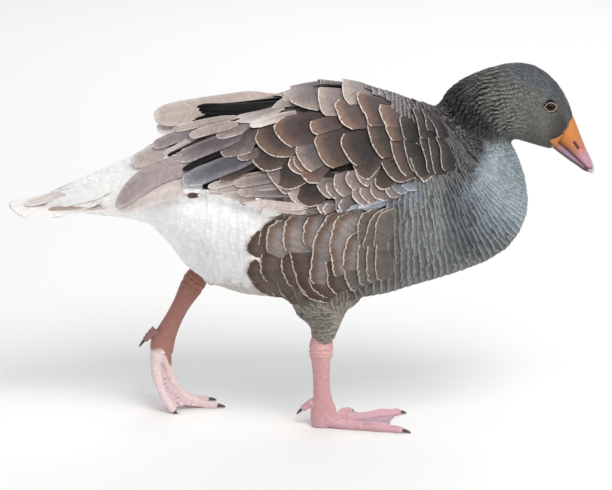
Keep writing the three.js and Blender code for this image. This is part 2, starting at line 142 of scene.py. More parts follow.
def catmull(points: Sequence[Sequence[float]], shares: Array) -> Array:
    """Samples a smooth curve that runs through every point.

    Args:
        points: the values that the curve passes through.
        shares: places along it, 0 at the first point and 1 at the last.

    Returns:
        One row for each share.
    """
    knots = np.asarray(points, float)
    padded = np.vstack([2 * knots[0] - knots[1], knots, 2 * knots[-1] - knots[-2]])
    place = np.clip(shares, 0, 1) * (len(knots) - 1)
    start = np.minimum(place.astype(int), len(knots) - 2)
    f = (place - start)[:, None]
    a, b, c, d = (padded[start + k] for k in range(4))
    return b + 0.5 * f * (c - a + f * (2 * a - 5 * b + 4 * c - d + f * (3 * (b - c) + d - a)))


def add_node(
    tree: bpy.types.NodeTree, kind: str, inputs: dict | None = None, **settings: object
) -> bpy.types.Node:
    """Adds a shader node with its settings, values and links.

    Args:
        tree: the material's node tree.
        kind: the node's type, without its first word.
        inputs: for each socket's name or number, a value, a socket to link, or a node to link the first of.
        settings: the node's own properties.

    Returns:
        The new node.
    """
    made = tree.nodes.new("ShaderNode" + kind)
    for name, value in settings.items():
        setattr(made, name, value)
    for key, value in (inputs or {}).items():
        source = value.outputs[0] if isinstance(value, bpy.types.Node) else value
        if isinstance(source, bpy.types.NodeSocket):
            tree.links.new(source, made.inputs[key])
        else:
            made.inputs[key].default_value = source
    return made


def new_material(name: str) -> tuple[Material, Callable[..., bpy.types.Node]]:
    """Makes an empty node material.

    Args:
        name: the material's name.

    Returns:
        The material, and add_node for its tree.
    """
    material = bpy.data.materials.new(name)
    material.use_nodes = True
    material.node_tree.nodes.clear()
    return material, partial(add_node, material.node_tree)


def add_object(name: str, mesh: Mesh, material: Material) -> bpy.types.Object:
    """Links a finished mesh to the scene as a smooth object at the origin.

    Args:
        name: the piece's name.
        mesh: its mesh, already in place.
        material: its finish.

    Returns:
        The new object.
    """
    thing = bpy.data.objects.new(name, mesh)
    bpy.context.scene.collection.objects.link(thing)
    mesh.materials.clear()
    mesh.materials.append(material)
    mesh.polygons.foreach_set("use_smooth", np.full(len(mesh.polygons), True))
    return thing


def add_piece(name: str, mesh: Mesh, material: Material, slot: str, *replaced: str) -> bpy.types.Object:
    """Args:
        name: the piece's name.
        mesh: its mesh, already in place.
        material: its finish.
        slot: the record's material slot; not used.
        replaced: the solids that it stands for.

    Returns:
        The piece.
    """
    piece = add_object(name, mesh, material)
    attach(piece, "root")
    if replaced:
        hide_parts(*replaced)
    LOG.info("%s: %d faces", name, len(mesh.polygons))
    return piece


def add_wall(piece: bpy.types.Object, thickness: float) -> None:
    """Gives an open piece a wall that grows inwards.

    Args:
        piece: the piece.
        thickness: the wall's thickness.
    """
    wall = piece.modifiers.new("thickness", "SOLIDIFY")
    wall.thickness = thickness
    wall.offset = -1.0


def mesh_from(work: bmesh.types.BMesh, name: str) -> Mesh:
    """Turns a shape in work to a mesh and frees it.

    Args:
        work: the shape.
        name: the mesh's name.

    Returns:
        The mesh.
    """
    mesh = bpy.data.meshes.new(name)
    work.to_mesh(mesh)
    work.free()
    return mesh


def mesh_arrays(mesh: Mesh) -> tuple[Array, Array]:
    """Reads a mesh's vertex positions and normals.

    Args:
        mesh: the mesh to read.

    Returns:
        Both, one row for each vertex.
    """
    found = []
    for items, key in ((mesh.vertices, "co"), (mesh.vertex_normals, "vector")):
        values = np.empty(len(items) * 3, np.float32)
        items.foreach_get(key, values)
        found.append(values.reshape(-1, 3).astype(float))
    return found[0], found[1]


def set_points(mesh: Mesh, points: Array) -> None:
    """Moves a mesh's vertices to new places."""
    mesh.vertices.foreach_set("co", points.astype(np.float32).ravel())
    mesh.update()


def store(mesh: Mesh, name: str, values: Array, kind: str = "FLOAT_COLOR", key: str = "color") -> None:
    """Stores one colour, vector or value for each vertex under a name that a material reads."""
    layer = mesh.attributes.new(name, kind, "POINT")
    layer.data.foreach_set(key, np.ascontiguousarray(values, np.float32).ravel())


def relax(mesh: Mesh, rounds: int) -> None:
    """Smooths a mesh evenly, each step in followed by a step out so that it keeps its volume.

    Args:
        mesh: the mesh to smooth.
        rounds: how often each vertex moves towards its neighbours.
    """
    edges = np.empty(len(mesh.edges) * 2, np.int32)
    mesh.edges.foreach_get("vertices", edges)
    first, second = edges.reshape(-1, 2).T
    points, _ = mesh_arrays(mesh)
    degree = np.bincount(first, minlength=len(points)) + np.bincount(second, minlength=len(points))
    for pull in (0.5, -0.52) * rounds:
        total = np.zeros_like(points)
        np.add.at(total, first, points[second])
        np.add.at(total, second, points[first])
        points += pull * (total / np.maximum(degree, 1)[:, None] - points)
    set_points(mesh, points)


def voxel_mesh(source: Mesh, voxel: float, name: str) -> Mesh:
    """Wraps closed overlapping bodies in one even skin.

    Args:
        source: the bodies.
        voxel: the size of the new faces.
        name: the new mesh's name.

    Returns:
        The largest closed body of the wrapped mesh.
    """
    helper = bpy.data.objects.new(name + "_helper", source)
    bpy.context.scene.collection.objects.link(helper)
    remesh = helper.modifiers.new("wrap", "REMESH")
    remesh.mode = "VOXEL"
    remesh.voxel_size = voxel
    graph = bpy.context.evaluated_depsgraph_get()
    wrapped = bpy.data.meshes.new_from_object(helper.evaluated_get(graph))
    bpy.data.objects.remove(helper)
    work = bmesh.new()
    work.from_mesh(wrapped)
    left, bodies = set(work.verts), []
    while left:
        body, queue = [], [left.pop()]
        while queue:
            body.append(queue.pop())
            fresh = {edge.other_vert(body[-1]) for edge in body[-1].link_edges} & left
            left -= fresh
            queue.extend(fresh)
        bodies.append(body)
    bodies.sort(key=len)
    bmesh.ops.delete(work, geom=[vert for body in bodies[:-1] for vert in body], context="VERTS")
    bpy.data.meshes.remove(wrapped)
    return mesh_from(work, name)


def joined_nodes(nodes: dict[str, bpy.types.Object], names: Iterable[str], grow: float) -> Mesh:
    """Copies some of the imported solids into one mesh, each slightly enlarged so that they overlap.

    Args:
        nodes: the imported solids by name.
        names: which to copy.
        grow: how far each surface moves out.

    Returns:
        The joined mesh.
    """
    work = bmesh.new()
    for name in names:
        part = bmesh.new()
        part.from_mesh(nodes[name].data)
        bmesh.ops.remove_doubles(part, verts=part.verts, dist=0.01 * MM)
        part.normal_update()
        for vert in part.verts:
            vert.co += vert.normal * grow
        copy = mesh_from(part, name + "_copy")
        work.from_mesh(copy)
        bpy.data.meshes.remove(copy)
    return mesh_from(work, "joined")


def loft(rings: Array, name: str) -> Mesh:
    """Skins a row of rings with one smooth wall and fills its ends.

    Args:
        rings: points as ring, place on the ring, and X, Y, Z.
        name: the mesh's name.

    Returns:
        The mesh, with its faces pointing out.
    """
    work = bmesh.new()
    loop = bmesh.ops.create_circle(work, cap_ends=False, segments=rings.shape[1], radius=1.0)["verts"]
    edges = list(work.edges)
    for vert, place in zip(loop, rings[0]):
        vert.co = place
    for ring in rings[1:]:
        made = bmesh.ops.extrude_edge_only(work, edges=edges)["geom"]
        fresh = {item for item in made if isinstance(item, bmesh.types.BMVert)}
        links = ((vert, edge.other_vert(vert)) for vert in fresh for edge in vert.link_edges)
        partner = {other: vert for vert, other in links if other not in fresh}
        loop = [partner[vert] for vert in loop]
        for vert, place in zip(loop, ring):
            vert.co = place
        edges = [item for item in made if isinstance(item, bmesh.types.BMEdge)]
        edges = [edge for edge in edges if fresh.issuperset(edge.verts)]
    bmesh.ops.holes_fill(work, edges=[edge for edge in work.edges if edge.is_boundary], sides=0)
    bmesh.ops.poke(work, faces=[face for face in work.faces if len(face.verts) > 4])
    bmesh.ops.recalc_face_normals(work, faces=work.faces)
    return mesh_from(work, name)


# ---- the shape and its chart

FLESH = (
    "trunk", "tail_coverts", "neck_lower", "neck_upper", "head", "thigh_right", "thigh_left", "wing_right",
    "wing_left",
)


@dataclass(frozen=True)
class Lens:
    """The camera's place and view, which also turns a pixel position into a ray."""

    width: int = 612
    height: int = 490
    pixel_size: float = 1.15 * MM
    tilt_deg: float = 14.0
    distance: float = 4500 * MM
    aim: Spot = (6.9 * MM, 0.0, 206.8 * MM)

    @property
    def forward(self) -> Array:
        """The direction the camera looks in."""
        tilt = math.radians(self.tilt_deg)
        return np.array([0.0, math.cos(tilt), -math.sin(tilt)])

    @property
    def place(self) -> Array:
        """Where the camera stands."""
        return np.array(self.aim) - self.distance * self.forward

    def rays(self, pixels: Array) -> Array:
        """Gives each pixel position's direction from the camera.

        Args:
            pixels: one row of x and y for each ray.

        Returns:
            Unit directions.
        """
        offset = np.asarray(pixels, float) - (self.width / 2, self.height / 2)
        offset = offset * self.pixel_size / self.distance
        right = np.array([1.0, 0, 0])
        return unit(self.forward + offset[:, :1] * right - offset[:, 1:] * np.cross(right, self.forward))

    def spot(self, x: float, y: float, depth: float) -> Array:
        """Gives the place that shows at a pixel position where its Y, in millimetres, is the depth."""
        ray = self.rays(np.array([[x, y]]))[0]
        return self.place + ray * (depth * MM - self.place[1]) / ray[1]


@dataclass
class Form:
    """The outer shape of the plumage: one smooth closed surface that the feathers are laid on."""

    nodes: dict[str, bpy.types.Object]
    voxel: float = 3.6 * MM
    overlap: float = 0.6 * MM

    def __post_init__(self) -> None:
        self.mesh = voxel_mesh(joined_nodes(self.nodes, FLESH, self.overlap), self.voxel, "form")
        relax(self.mesh, 8)
        self.points, self.normals = mesh_arrays(self.mesh)
        self.mesh.calc_loop_triangles()
        corners = np.empty(len(self.mesh.loop_triangles) * 3, np.int32)
        self.mesh.loop_triangles.foreach_get("vertices", corners)
        self.corners = corners.reshape(-1, 3)
        self.tree = BVHTree.FromPolygons(self.points.tolist(), self.corners.tolist())

    def _smooth_normals(self, places: Array, faces: Array) -> Array:
        """Blends the corner normals of the faces that the places lie on.

        Args:
            places: places on the surface.
            faces: the face that each lies on.

        Returns:
            Unit normals.
        """
        a, b, c = (self.points[self.corners[faces, k]] for k in range(3))
        ab, ac, ap = b - a, c - a, places - a
        d00, d01, d11 = (ab * ab).sum(1), (ab * ac).sum(1), (ac * ac).sum(1)
        d20, d21 = (ap * ab).sum(1), (ap * ac).sum(1)
        area = np.maximum(d00 * d11 - d01 * d01, 1e-18)
        v = np.clip((d11 * d20 - d01 * d21) / area, 0, 1)[:, None]
        w = np.clip((d00 * d21 - d01 * d20) / area, 0, 1)[:, None]
        na, nb, nc = (self.normals[self.corners[faces, k]] for k in range(3))
        return unit(na * (1 - v - w) + nb * v + nc * w)

    def nearest(self, points: Array) -> tuple[Array, Array]:
        """Drops points onto the surface.

        Args:
            points: places in any array shape that ends in 3.

        Returns:
            The nearest surface places and the smooth normals there, in the same shape.
        """
        flat = points.reshape(-1, 3)
        places, faces = np.empty_like(flat), np.zeros(len(flat), int)
        for k, point in enumerate(flat.tolist()):
            places[k], _, faces[k], _ = self.tree.find_nearest(point)
        return places.reshape(points.shape), self._smooth_normals(places, faces).reshape(points.shape)

    def cast(self, origins: Array, directions: Array) -> tuple[Array, Array]:
        """Finds where rays first meet the surface; a ray that misses takes the place it passes closest to.

        Args:
            origins: one start for each ray, or one for all.
            directions: one unit direction for each ray.

        Returns:
            The places and the smooth normals there.
        """
        places, faces = np.empty_like(directions), np.zeros(len(directions), int)
        starts = np.broadcast_to(origins, directions.shape)
        for k, (start, way) in enumerate(zip(starts.tolist(), directions.tolist())):
            hit = self.tree.ray_cast(start, way)
            if hit[0] is None:
                steps = np.array(start) + np.array(way) * np.linspace(4.3, 4.8, 26)[:, None]
                found = (self.tree.find_nearest(step) for step in steps.tolist())
                hit = min(found, key=lambda one: one[3])
            places[k], _, faces[k], _ = hit
        return places, self._smooth_normals(places, faces)


@dataclass
class Chart:
    """The fan of section planes across the bird, from the tail coverts to the base of the bill.

    Each section is its top and bottom point (X, Z in millimetres). A station counts sections from the
    tail forwards, and feathers point from a higher station to a lower one.
    """

    sections: tuple[tuple[float, float, float, float], ...] = (
        (-288, 265, -282, 250), (-246, 287, -240, 245), (-208, 303, -203, 241), (-178, 318, -172, 235),
        (-147, 334, -145, 206), (-115, 348, -118, 172), (-70, 365, -70, 153), (-15, 381, -20, 147),
        (40, 390, 40, 144), (92, 383, 92, 151), (127, 374.5, 132, 163), (148, 369.5, 170, 174.5),
        (154, 370, 207, 187.5), (157, 370.5, 237, 205), (159, 372, 255, 230), (161, 374, 261, 257),
        (163, 378, 257, 288), (168, 385, 247.5, 313), (179, 396, 237.5, 332), (197, 405.5, 238, 334.5),
        (219, 414.5, 243, 333.5), (242, 420, 250, 331.5), (263, 418.5, 258, 329), (281, 408.5, 266, 326.5),
        (296, 392.5, 275, 324), (305.5, 375.5, 282, 322), (311.5, 358, 287.5, 320.5),
    )
    bill_border: Pairs = (
        (320, 293), (330, 289), (336, 287.5), (338, 292), (339.5, 296.5), (343, 301.3), (349, 305.5),
        (354, 307), (360, 312),
    )

    def __post_init__(self) -> None:
        """Turns the sections to arrays in metres with their forward directions."""
        table = np.array(self.sections) * MM
        self.tops, self.bottoms = table[:, :2], table[:, 2:]
        edge = self.bottoms - self.tops
        self.ahead = unit(np.stack([-edge[:, 1], edge[:, 0]], 1))
        self.last = len(table) - 1

    def station(self, points: Array) -> Array:
        """Gives the station of each place, from 0 to the last section.

        Args:
            points: the places.

        Returns:
            Their stations.
        """
        gap = ((points[:, None, ::2] - self.tops[None]) * self.ahead[None]).sum(2)
        behind = gap[:, 1:] < 0
        lower = np.where(behind.any(1), behind.argmax(1), self.last - 1)
        here, there = (np.take_along_axis(gap, lower[:, None] + k, 1)[:, 0] for k in (0, 1))
        return np.clip(lower + np.clip(here / np.maximum(here - there, 1e-9), 0, 1), 0, self.last)

    def plane(self, stations: Array) -> tuple[Array, Array, Array]:
        """Gives the middle, the upward axis and the forward direction of the section planes.

        Args:
            stations: one value for each plane.

        Returns:
            Middles, unit axes and unit forward directions, each as X, Y, Z.
        """
        low = np.minimum(stations.astype(int), self.last - 1)
        f = (stations - low)[:, None]
        top, bottom, ahead = (
            part[low] * (1 - f) + part[low + 1] * f for part in (self.tops, self.bottoms, self.ahead)
        )
        level = [np.insert(part, 1, 0.0, axis=1) for part in ((top + bottom) / 2, top - bottom, ahead)]
        return level[0], unit(level[1]), unit(level[2])

    def angle(self, points: Array, stations: Array) -> Array:
        """Gives each place's angle round its section: 0 on top, positive to the bird's right."""
        middle, up, _ = self.plane(stations)
        return np.arctan2(-points[:, 1], ((points - middle) * up).sum(1))

    def flow(self, points: Array, normals: Array) -> Array:
        """Gives the way a feather points at each place, along the surface.

        Args:
            points: the places.
            normals: the surface normals there.

        Returns:
            Unit directions.
        """
        x, _, z = (points / MM).T
        leg = rise(178, 150, z) * rise(60, 40, x) * rise(-150, -110, x)
        leg = leg[:, None]
        way = -self.plane(self.station(points))[2] * (1 - leg) + np.array([0.15, 0, -1.0]) * leg
        return unit(way - (way * normals).sum(1)[:, None] * normals)

    def bare(self, points: Array) -> Array:
        """Tells which places lie in front of the feathers' border at the base of the bill."""
        x, _, z = (points / MM).T
        return x > np.interp(z, *zip(*self.bill_border))

    def patch(self, points: Array) -> Array:
        """Gives each place on an unwrap of the skin's own shape: angle across, station along.

        Args:
            points: places on the form.

        Returns:
            Places on the unwrap.
        """
        stations = self.station(points)
        across = self.angle(points, stations) / math.tau + 0.5
        return 0.005 + 0.99 * np.stack([across, stations / self.last], 1)


# ---- markings


@dataclass(frozen=True)
class Markings:
    """The colours of skin and coat, as functions of the place on the bird."""

    white: str = "f6f6f5"
    white_shade: str = "d2d3d5"
    belly_tan: str = "aaa198"
    head: str = "585954"
    crown: str = "54575b"
    lores: str = "3f3833"
    gape: str = "c98a58"
    nape: str = "484846"
    furrow: str = "1f1e1d"
    low_neck: str = "828d92"
    neck_side: str = "262524"
    breast_front: str = "88939a"
    breast_mid: str = "6c747b"
    breast_side: str = "4a4f52"
    breast_low: str = "666967"
    flank: str = "7a6a62"
    flank_dark: str = "4f413b"
    flank_front: str = "56504a"
    mantle: str = "3d3633"
    wing_hem: str = "857b79"
    frost: str = "666c72"
    saddle: str = "8d8586"
    leg_grey: str = "807a73"
    cream_edge: str = "8e8b8b"
    streak_edge: str = "6f6e6e"
    flank_edge: str = "b0a79b"
    wing_low: Pairs = (
        (-150, 296.5), (0, 271), (60, 271), (100, 282), (118, 297), (140, 308), (155, 320), (178, 326),
    )
    neck_start: Pairs = (
        (0, 12.0), (15, 12.5), (31, 14.4), (60, 15.9), (100, 16.65), (127, 17.45), (180, 17.7),
    )

    def streak_share(self, t: Array, a: Array) -> Array:
        """Gives how much of the dark, pale-lined side of the neck's base lies at each place."""
        return rise(88, 66, a - 12 * rise(14, 16, t)) * rise(10.8, 12.2, t)

    def hem_share(self, x: Array, z: Array) -> Array:
        """Gives how near each place lies to the pale lower edge of the folded wing."""
        above = z - np.interp(x, *zip(*self.wing_low))
        return rise(18, 9, above) * rise(-30, 0, x) * rise(110, 90, x)

    def frost_share(self, x: Array, z: Array) -> Array:
        """Gives how much of the pale grey patch in front of the folded wing lies at each place."""
        slope = z - 277 - 0.28 * (x - 100)
        return rise(74, 96, x) * rise(150, 132, x) * rise(-7, -2, slope) * rise(13, 7, slope)

    def wing_share(self, points: Array, chart: Chart) -> Array:
        """Gives how much of the dark back and wing lies at each place.

        Args:
            points: the places.
            chart: the bird's stations.

        Returns:
            Shares from 0 to 1.
        """
        x, _, z = (points / MM).T
        t = chart.station(points)
        a = np.degrees(np.abs(chart.angle(points, t)))
        rear = rise(-150, -125, x) * rise(-2, 4, z - np.interp(x, *zip(*self.wing_low)))
        return rear * rise(13.4, 11.6, t + 0.6 * rise(50, 85, a)) * rise(96, 84, a)

    def fringe(self, points: Array, tone: Array, gain: Array, chart: Chart) -> Array:
        """Gives the colour of the feathers' edges: paler than the coat, and cream on back and wing.

        Args:
            points: the places.
            tone: the coat's colours there.
            gain: how much paler the edges are.
            chart: the bird's stations.

        Returns:
            Linear colours.
        """
        pale = tone.copy()
        pale[:, :3] = np.minimum(pale[:, :3] * gain[:, None] + 0.008, 0.9)
        x, _, z = (points / MM).T
        t = chart.station(points)
        a = np.degrees(np.abs(chart.angle(points, t)))
        back = self.wing_share(points, chart) * rise(112, 124, x) * rise(12.2, 11.4, t)
        front = rise(50, 66, x) * rise(140, 96, x) * rise(166, 182, z) * rise(275, 255, z)
        streaks = self.streak_share(t, a) * rise(17.2, 16.4, t)
        return blend(pale, (
            (self.cream_edge, back * 0.7),
            (self.flank_edge, 0.75 * front),
            (self.streak_edge, streaks * 0.9),
        ))

    def coat(self, points: Array, chart: Chart) -> Array:
        """Gives the coat's colour at each place.

        Args:
            points: the places.
            chart: the bird's stations.

        Returns:
            Linear colours.
        """
        x, y, z = (points / MM).T
        t = chart.station(points)
        a = np.degrees(np.abs(chart.angle(points, t)))
        wing = self.wing_share(points, chart)
        rear_edge = -50 + 26 * rise(215, 150, z) + 20 * rise(240, 272, z)
        grey = rise(-4, 5, x - rear_edge) * np.maximum(rise(156, 130, a), rise(-25, 0, x))
        white = rise(-4, -8, x - rear_edge)
        neck = rise(-0.5, 0.5, t - np.interp(a, *zip(*self.neck_start)))
        return blend(plain_tone(self.white, len(points)), (
            (self.flank, grey),
            (self.flank_dark, grey * np.maximum(rise(0, -50, x), rise(185, 150, z))),
            (self.flank_front, rise(40, 66, x)),
            (self.breast_low, rise(96, 130, x)),
            (self.breast_side, rise(10.6, 11.8, t) * rise(155, 120, a)),
            (self.breast_mid, rise(11.8, 13.2, t) * rise(160, 125, a)),
            (self.breast_low, rise(138, 165, a) * rise(60, 100, x) * rise(14.5, 12.8, t)),
            (self.breast_front, rise(13.0, 14.6, t)),
            (self.low_neck, rise(13.8, 15.4, t) * rise(84, 110, a)),
            (self.neck_side, self.streak_share(t, a)),
            (self.nape, neck),
            # The upper neck's dark tone: partly the neck's own colour, partly painted shade of the furrows
            # between its ridges.
            (self.furrow, neck * rise(140, 90, a) * rise(19.4, 17.4, t) * 0.85),
            (self.head, rise(18.6, 20.6, t)),
            (self.crown, rise(19.5, 21.5, t) * rise(62, 30, a)),
            (self.lores, rise(23.2, 25.2, t) * rise(35, 65, a) * rise(150, 120, a)),
            # Painted shade: the underside of the head darkened towards the lores tone.
            (self.lores, rise(20.5, 23, t) * rise(112, 145, a) * 0.35),
            (self.mantle, wing),
            (self.wing_hem, wing * self.hem_share(x, z)),
            (self.frost, self.frost_share(x, z)),
            (self.saddle, rise(42, 24, a) * rise(5.0, 6.2, t) * rise(10.2, 9.0, t) * 0.75),
            (self.leg_grey, rise(168, 148, z) * rise(-30, 5, x) * rise(80, 60, x) * (y < 0)),
            (self.white_shade, rise(-150, -112, x) * rise(272, 235, z) * white * 0.6),
            # Painted shade: the lower rear of the white belly greyed and browned, as on the side turned from
            # the light.
            (self.belly_tan, rise(184, 168, z) * rise(-112, -84, x) * white * 0.8),
            (self.gape, chart.bare(points) * 1.0),
        ))


# ---- vanes

PATCH_SIZE = 0.003
NEVER = (400, 500)


@dataclass(frozen=True)
class VaneShape:
    """The outline and cross-section of one kind of feather, in shares of its own length and width.

    Rim and the pair after it are distances from the tip, in millimetres: between the rim's two its colour
    turns from tip to root tone, and between the other two painted shadow of the feather above darkens its
    root.
    """

    rows: int
    columns: int
    stem: float = 0.35
    widest: float = 0.4
    shoulder: float = 0.72
    blunt: float = 2.4
    crown: float = 0.10
    ragged: float = 0.0
    crowding: float = 1.5
    ramp: tuple[float, float] = (0.25, 0.95)
    rim: tuple[float, float] = NEVER
    deep: tuple[float, float] = NEVER
    streak: float = 0.03
    sided: bool = True

    def template(self) -> tuple[Array, Array, Array]:
        """Makes the flat grid that every vane of this kind is shaped from.

        Returns:
            Each vertex's place across (-1 to 1) and along (0 to 1), and the faces.
        """
        work = bmesh.new()
        bmesh.ops.create_grid(work, x_segments=self.columns, y_segments=self.rows, size=1.0)
        work.verts.index_update()
        flat = np.array([vert.co[:2] for vert in work.verts])
        faces = np.array([[vert.index for vert in face.verts] for face in work.faces], np.int32)
        work.free()
        across = np.sin(flat[:, 0] * math.pi / 2 * 0.8) / math.sin(math.pi / 2 * 0.8)
        along = 1 - (1 - (flat[:, 1] + 1) / 2) ** self.crowding
        return across, along, faces

    def spread(self, across: Array, along: Array) -> tuple[Array, Array]:
        """Gives each vertex's share of the full width, and how far its column reaches to the tip.

        Args:
            across: the vertex's place across the vane, -1 to 1.
            along: its place along the vane, 0 to 1.

        Returns:
            Both shares.
        """
        half = self.stem + (1 - self.stem) * rise(0, self.widest, along)
        arch = (1 - np.abs(across) ** self.blunt) ** (1 / self.blunt)
        return half, self.shoulder + (1 - self.shoulder) * arch


@dataclass
class Vanes:
    """A set of feathers of one kind: where each lies, how big it is and how it is coloured.

    Every field has one row for each feather. Lengths are in metres. A feather starts sunk below the
    surface and rises towards its tip, so that it lies on the feathers behind it.
    """

    roots: Array
    ways: Array
    length: Array
    width: Array
    depth: Array
    lift: Array
    tilt: Array
    root_tone: Array
    tip_tone: Array
    fringe_tone: Array
    fringe_width: Array
    bend: Array | None = None
    outline: Array | None = None

    def __len__(self) -> int:
        """The number of feathers."""
        return len(self.roots)

    def picked(self, keep: Array) -> Vanes:
        """Gives some of the feathers."""
        return Vanes(**{key: None if value is None else value[keep] for key, value in self.__dict__.items()})

    def mirrored(self) -> Vanes:
        """Gives the same large feathers on the bird's other side.

        Returns:
            The mirrored feathers.
        """
        flip = np.array([1.0, -1.0, 1.0])
        outline = self.outline[:, ::-1]
        return replace(self, roots=self.roots * flip, ways=self.ways * flip, tilt=-self.tilt, outline=outline)


@dataclass
class Coat:
    """One joined piece of plumage, filled with vanes and then built as a single mesh."""

    name: str
    form: Form
    chart: Chart
    rng: np.random.Generator
    parts: list[tuple[Array, ...]] = field(default_factory=list)
    count: int = 0

    def lay(self, vanes: Vanes, shape: VaneShape, relief: Callable[[Array], Array] | None = None) -> None:
        """Lays feathers on the form.

        Args:
            vanes: the feathers.
            shape: their outline.
            relief: gives an extra height at each surface place, if the coat has ridges.
        """
        across, along, faces = shape.template()
        roots, normals = self.form.nearest(vanes.roots)
        ways = unit(vanes.ways - (vanes.ways * normals).sum(1)[:, None] * normals)
        sides = np.cross(ways, normals)
        levels, column = np.unique(across.round(4), return_inverse=True)
        fray = self.rng.random((len(vanes), len(levels)))[:, column] * shape.ragged
        half, reach = shape.spread(across, along)
        length, width = vanes.length[:, None], vanes.width[:, None]
        slant = 1.0
        if vanes.outline is not None:
            marks = np.linspace(-1, 1, vanes.outline.shape[1])
            reach = np.stack([np.interp(across, marks, row) for row in vanes.outline])
            slope = np.gradient(vanes.outline, marks, axis=1) * length / (width / 2)
            slant = 1 / np.sqrt(1 + np.stack([np.interp(across, marks, row) for row in slope]) ** 2)
        share = along * (reach * (1 - fray * along**3))
        sideways = across * half * width / 2
        if vanes.bend is not None:
            sideways = sideways + vanes.bend[:, None] * share**2
        flat = roots[:, None] + ways[:, None] * (share * length)[..., None]
        flat = flat + sides[:, None] * sideways[..., None]
        ground, outward = self.form.nearest(flat)
        height = -vanes.depth[:, None] + (vanes.depth + vanes.lift)[:, None] * share
        height = height + vanes.tilt[:, None] * across * half
        height = height - shape.crown * np.abs(across) ** 2 * half * width / 2
        if relief is not None:
            height = height + relief(ground.reshape(-1, 3)).reshape(height.shape)
        ahead = (reach * (1 - fray) - share) * length * slant
        edge = np.minimum((1 - np.abs(across)) * half * width / 2, ahead) if shape.sided else ahead
        self.add(ground + outward * height[..., None], faces, vanes, shape, (share, edge, ahead, sideways))

    def add(self, points: Array, faces: Array, vanes: Vanes, shape: VaneShape, lie: Sequence[Array]) -> None:
        """Adds shaped feathers to the piece with their colours and maps.

        Args:
            points: feather, vertex, and X, Y, Z.
            faces: one feather's faces.
            vanes: the feathers' colours and roots.
            shape: their kind.
            lie: each vertex's share of its feather's length, and its distances from the feather's edge,
                from the edge of the tip and from the shaft.
        """
        share, edge, ahead, sideways = lie
        total, size = points.shape[:2]
        ramp = rise(*shape.ramp, share) * rise(shape.rim[1] * MM, shape.rim[0] * MM, ahead)
        inner = vanes.root_tone[:, None] * (1 - ramp)[..., None] + vanes.tip_tone[:, None] * ramp[..., None]
        levels, column = np.unique(sideways.round(7), axis=1, return_inverse=True)
        streaks = 1 + self.rng.normal(0, shape.streak, (total, levels.shape[1]))[:, column.ravel()]
        # Painted shadow of the feather above, darkening the part of the vane that lies towards its root.
        shade = 1 - 0.42 * rise(shape.deep[0] * MM, shape.deep[1] * MM, ahead)
        inner[..., :3] *= (streaks * shade)[..., None]
        fringe = np.repeat(vanes.fringe_tone[:, None], size, 1)
        fringe[..., 3] = vanes.fringe_width[:, None] / MM / 10 * (0.2 + 0.8 * rise(0.55, 0.9, share))
        along = share * vanes.length[:, None]
        place = np.stack(np.broadcast_arrays(edge / MM, along / MM, sideways / MM), -1)
        spread = np.stack(np.broadcast_arrays(sideways / vanes.width[:, None] + 0.5, share), -1)
        patch = self.chart.patch(vanes.roots)[:, None] + (spread - 0.5) * PATCH_SIZE
        offset = np.arange(total)[:, None, None] * size + self.count
        parts = (points, faces[None] + offset, inner, fringe, place, patch)
        self.parts.append(tuple(part.reshape(-1, part.shape[-1]) for part in parts))
        self.count += total * size

    def build(self, material: Material, slot: str, *replaced: str) -> bpy.types.Object:
        """Joins the feathers to one finished piece.

        Args:
            material: the plumage's finish.
            slot: the record's material slot.
            replaced: the solids that this piece stands for.

        Returns:
            The piece.
        """
        points, faces, inner, fringe, place, patch = (np.concatenate(part) for part in zip(*self.parts))
        mesh = bpy.data.meshes.new(self.name)
        mesh.vertices.add(self.count)
        mesh.loops.add(faces.size)
        mesh.polygons.add(len(faces))
        mesh.vertices.foreach_set("co", points.astype(np.float32).ravel())
        mesh.loops.foreach_set("vertex_index", faces.ravel().astype(np.int32))
        mesh.polygons.foreach_set("loop_start", np.arange(len(faces), dtype=np.int32) * 4)
        mesh.update(calc_edges=True)
        store(mesh, "Inner", inner)
        store(mesh, "Fringe", fringe)
        store(mesh, "Vane", place, "FLOAT_VECTOR", "vector")
        layer = mesh.uv_layers.new(name="OFBake")
        layer.data.foreach_set("uv", patch[faces.ravel()].astype(np.float32).ravel())
        return add_piece(self.name, mesh, material, slot, *replaced)


# ---- skin and body plumage


@dataclass
class Plumage:
    """What every group of feathers is laid with."""

    form: Form
    chart: Chart
    markings: Markings
    lens: Lens
    rng: np.random.Generator

    def piece(self, name: str) -> Coat:
        """Starts an empty piece of plumage."""
        return Coat(name, self.form, self.chart, self.rng)


@dataclass
class Skin(Plumage):
    """One skin under the whole coat, without seams, inset from the form by the coat's depth."""

    body_depth: float = 6.5 * MM
    head_depth: float = 2.6 * MM
    leg_depth: float = 2.8 * MM
    tail_depth: float = 2.2 * MM
    vent_depth: float = 2.0 * MM
    bare_depth: float = 0.8 * MM

    def build(self, material: Material) -> None:
        """Makes the skin, which stands for every solid of flesh.

        Args:
            material: the skin's finish.
        """
        mesh = self.form.mesh.copy()
        mesh.name = "skin"
        points, normals = mesh_arrays(mesh)
        x, y, z = points.T
        low = rise(190 * MM, 150 * MM, z) * rise(78 * MM, 60 * MM, x)
        vent = rise(-60 * MM, -85 * MM, x) * rise(205 * MM, 185 * MM, z)
        depth = np.full(len(points), self.body_depth)
        for aim, share in (
            (self.head_depth, rise(16.5, 19.5, self.chart.station(points))),
            (self.leg_depth, low * rise(-110 * MM, -60 * MM, x)),
            (self.tail_depth, rise(-215 * MM, -270 * MM, x)),
            (self.vent_depth, vent * (y > 20 * MM)),
        ):
            depth = depth + (aim - depth) * share
        depth = np.where(self.chart.bare(points), self.bare_depth, depth)
        set_points(mesh, points - normals * depth[:, None])
        relax(mesh, 3)
        inside, _ = mesh_arrays(mesh)
        store(mesh, "Skin", self.markings.coat(inside, self.chart))
        add_piece("skin", mesh, material, "breast_plumage", *FLESH)


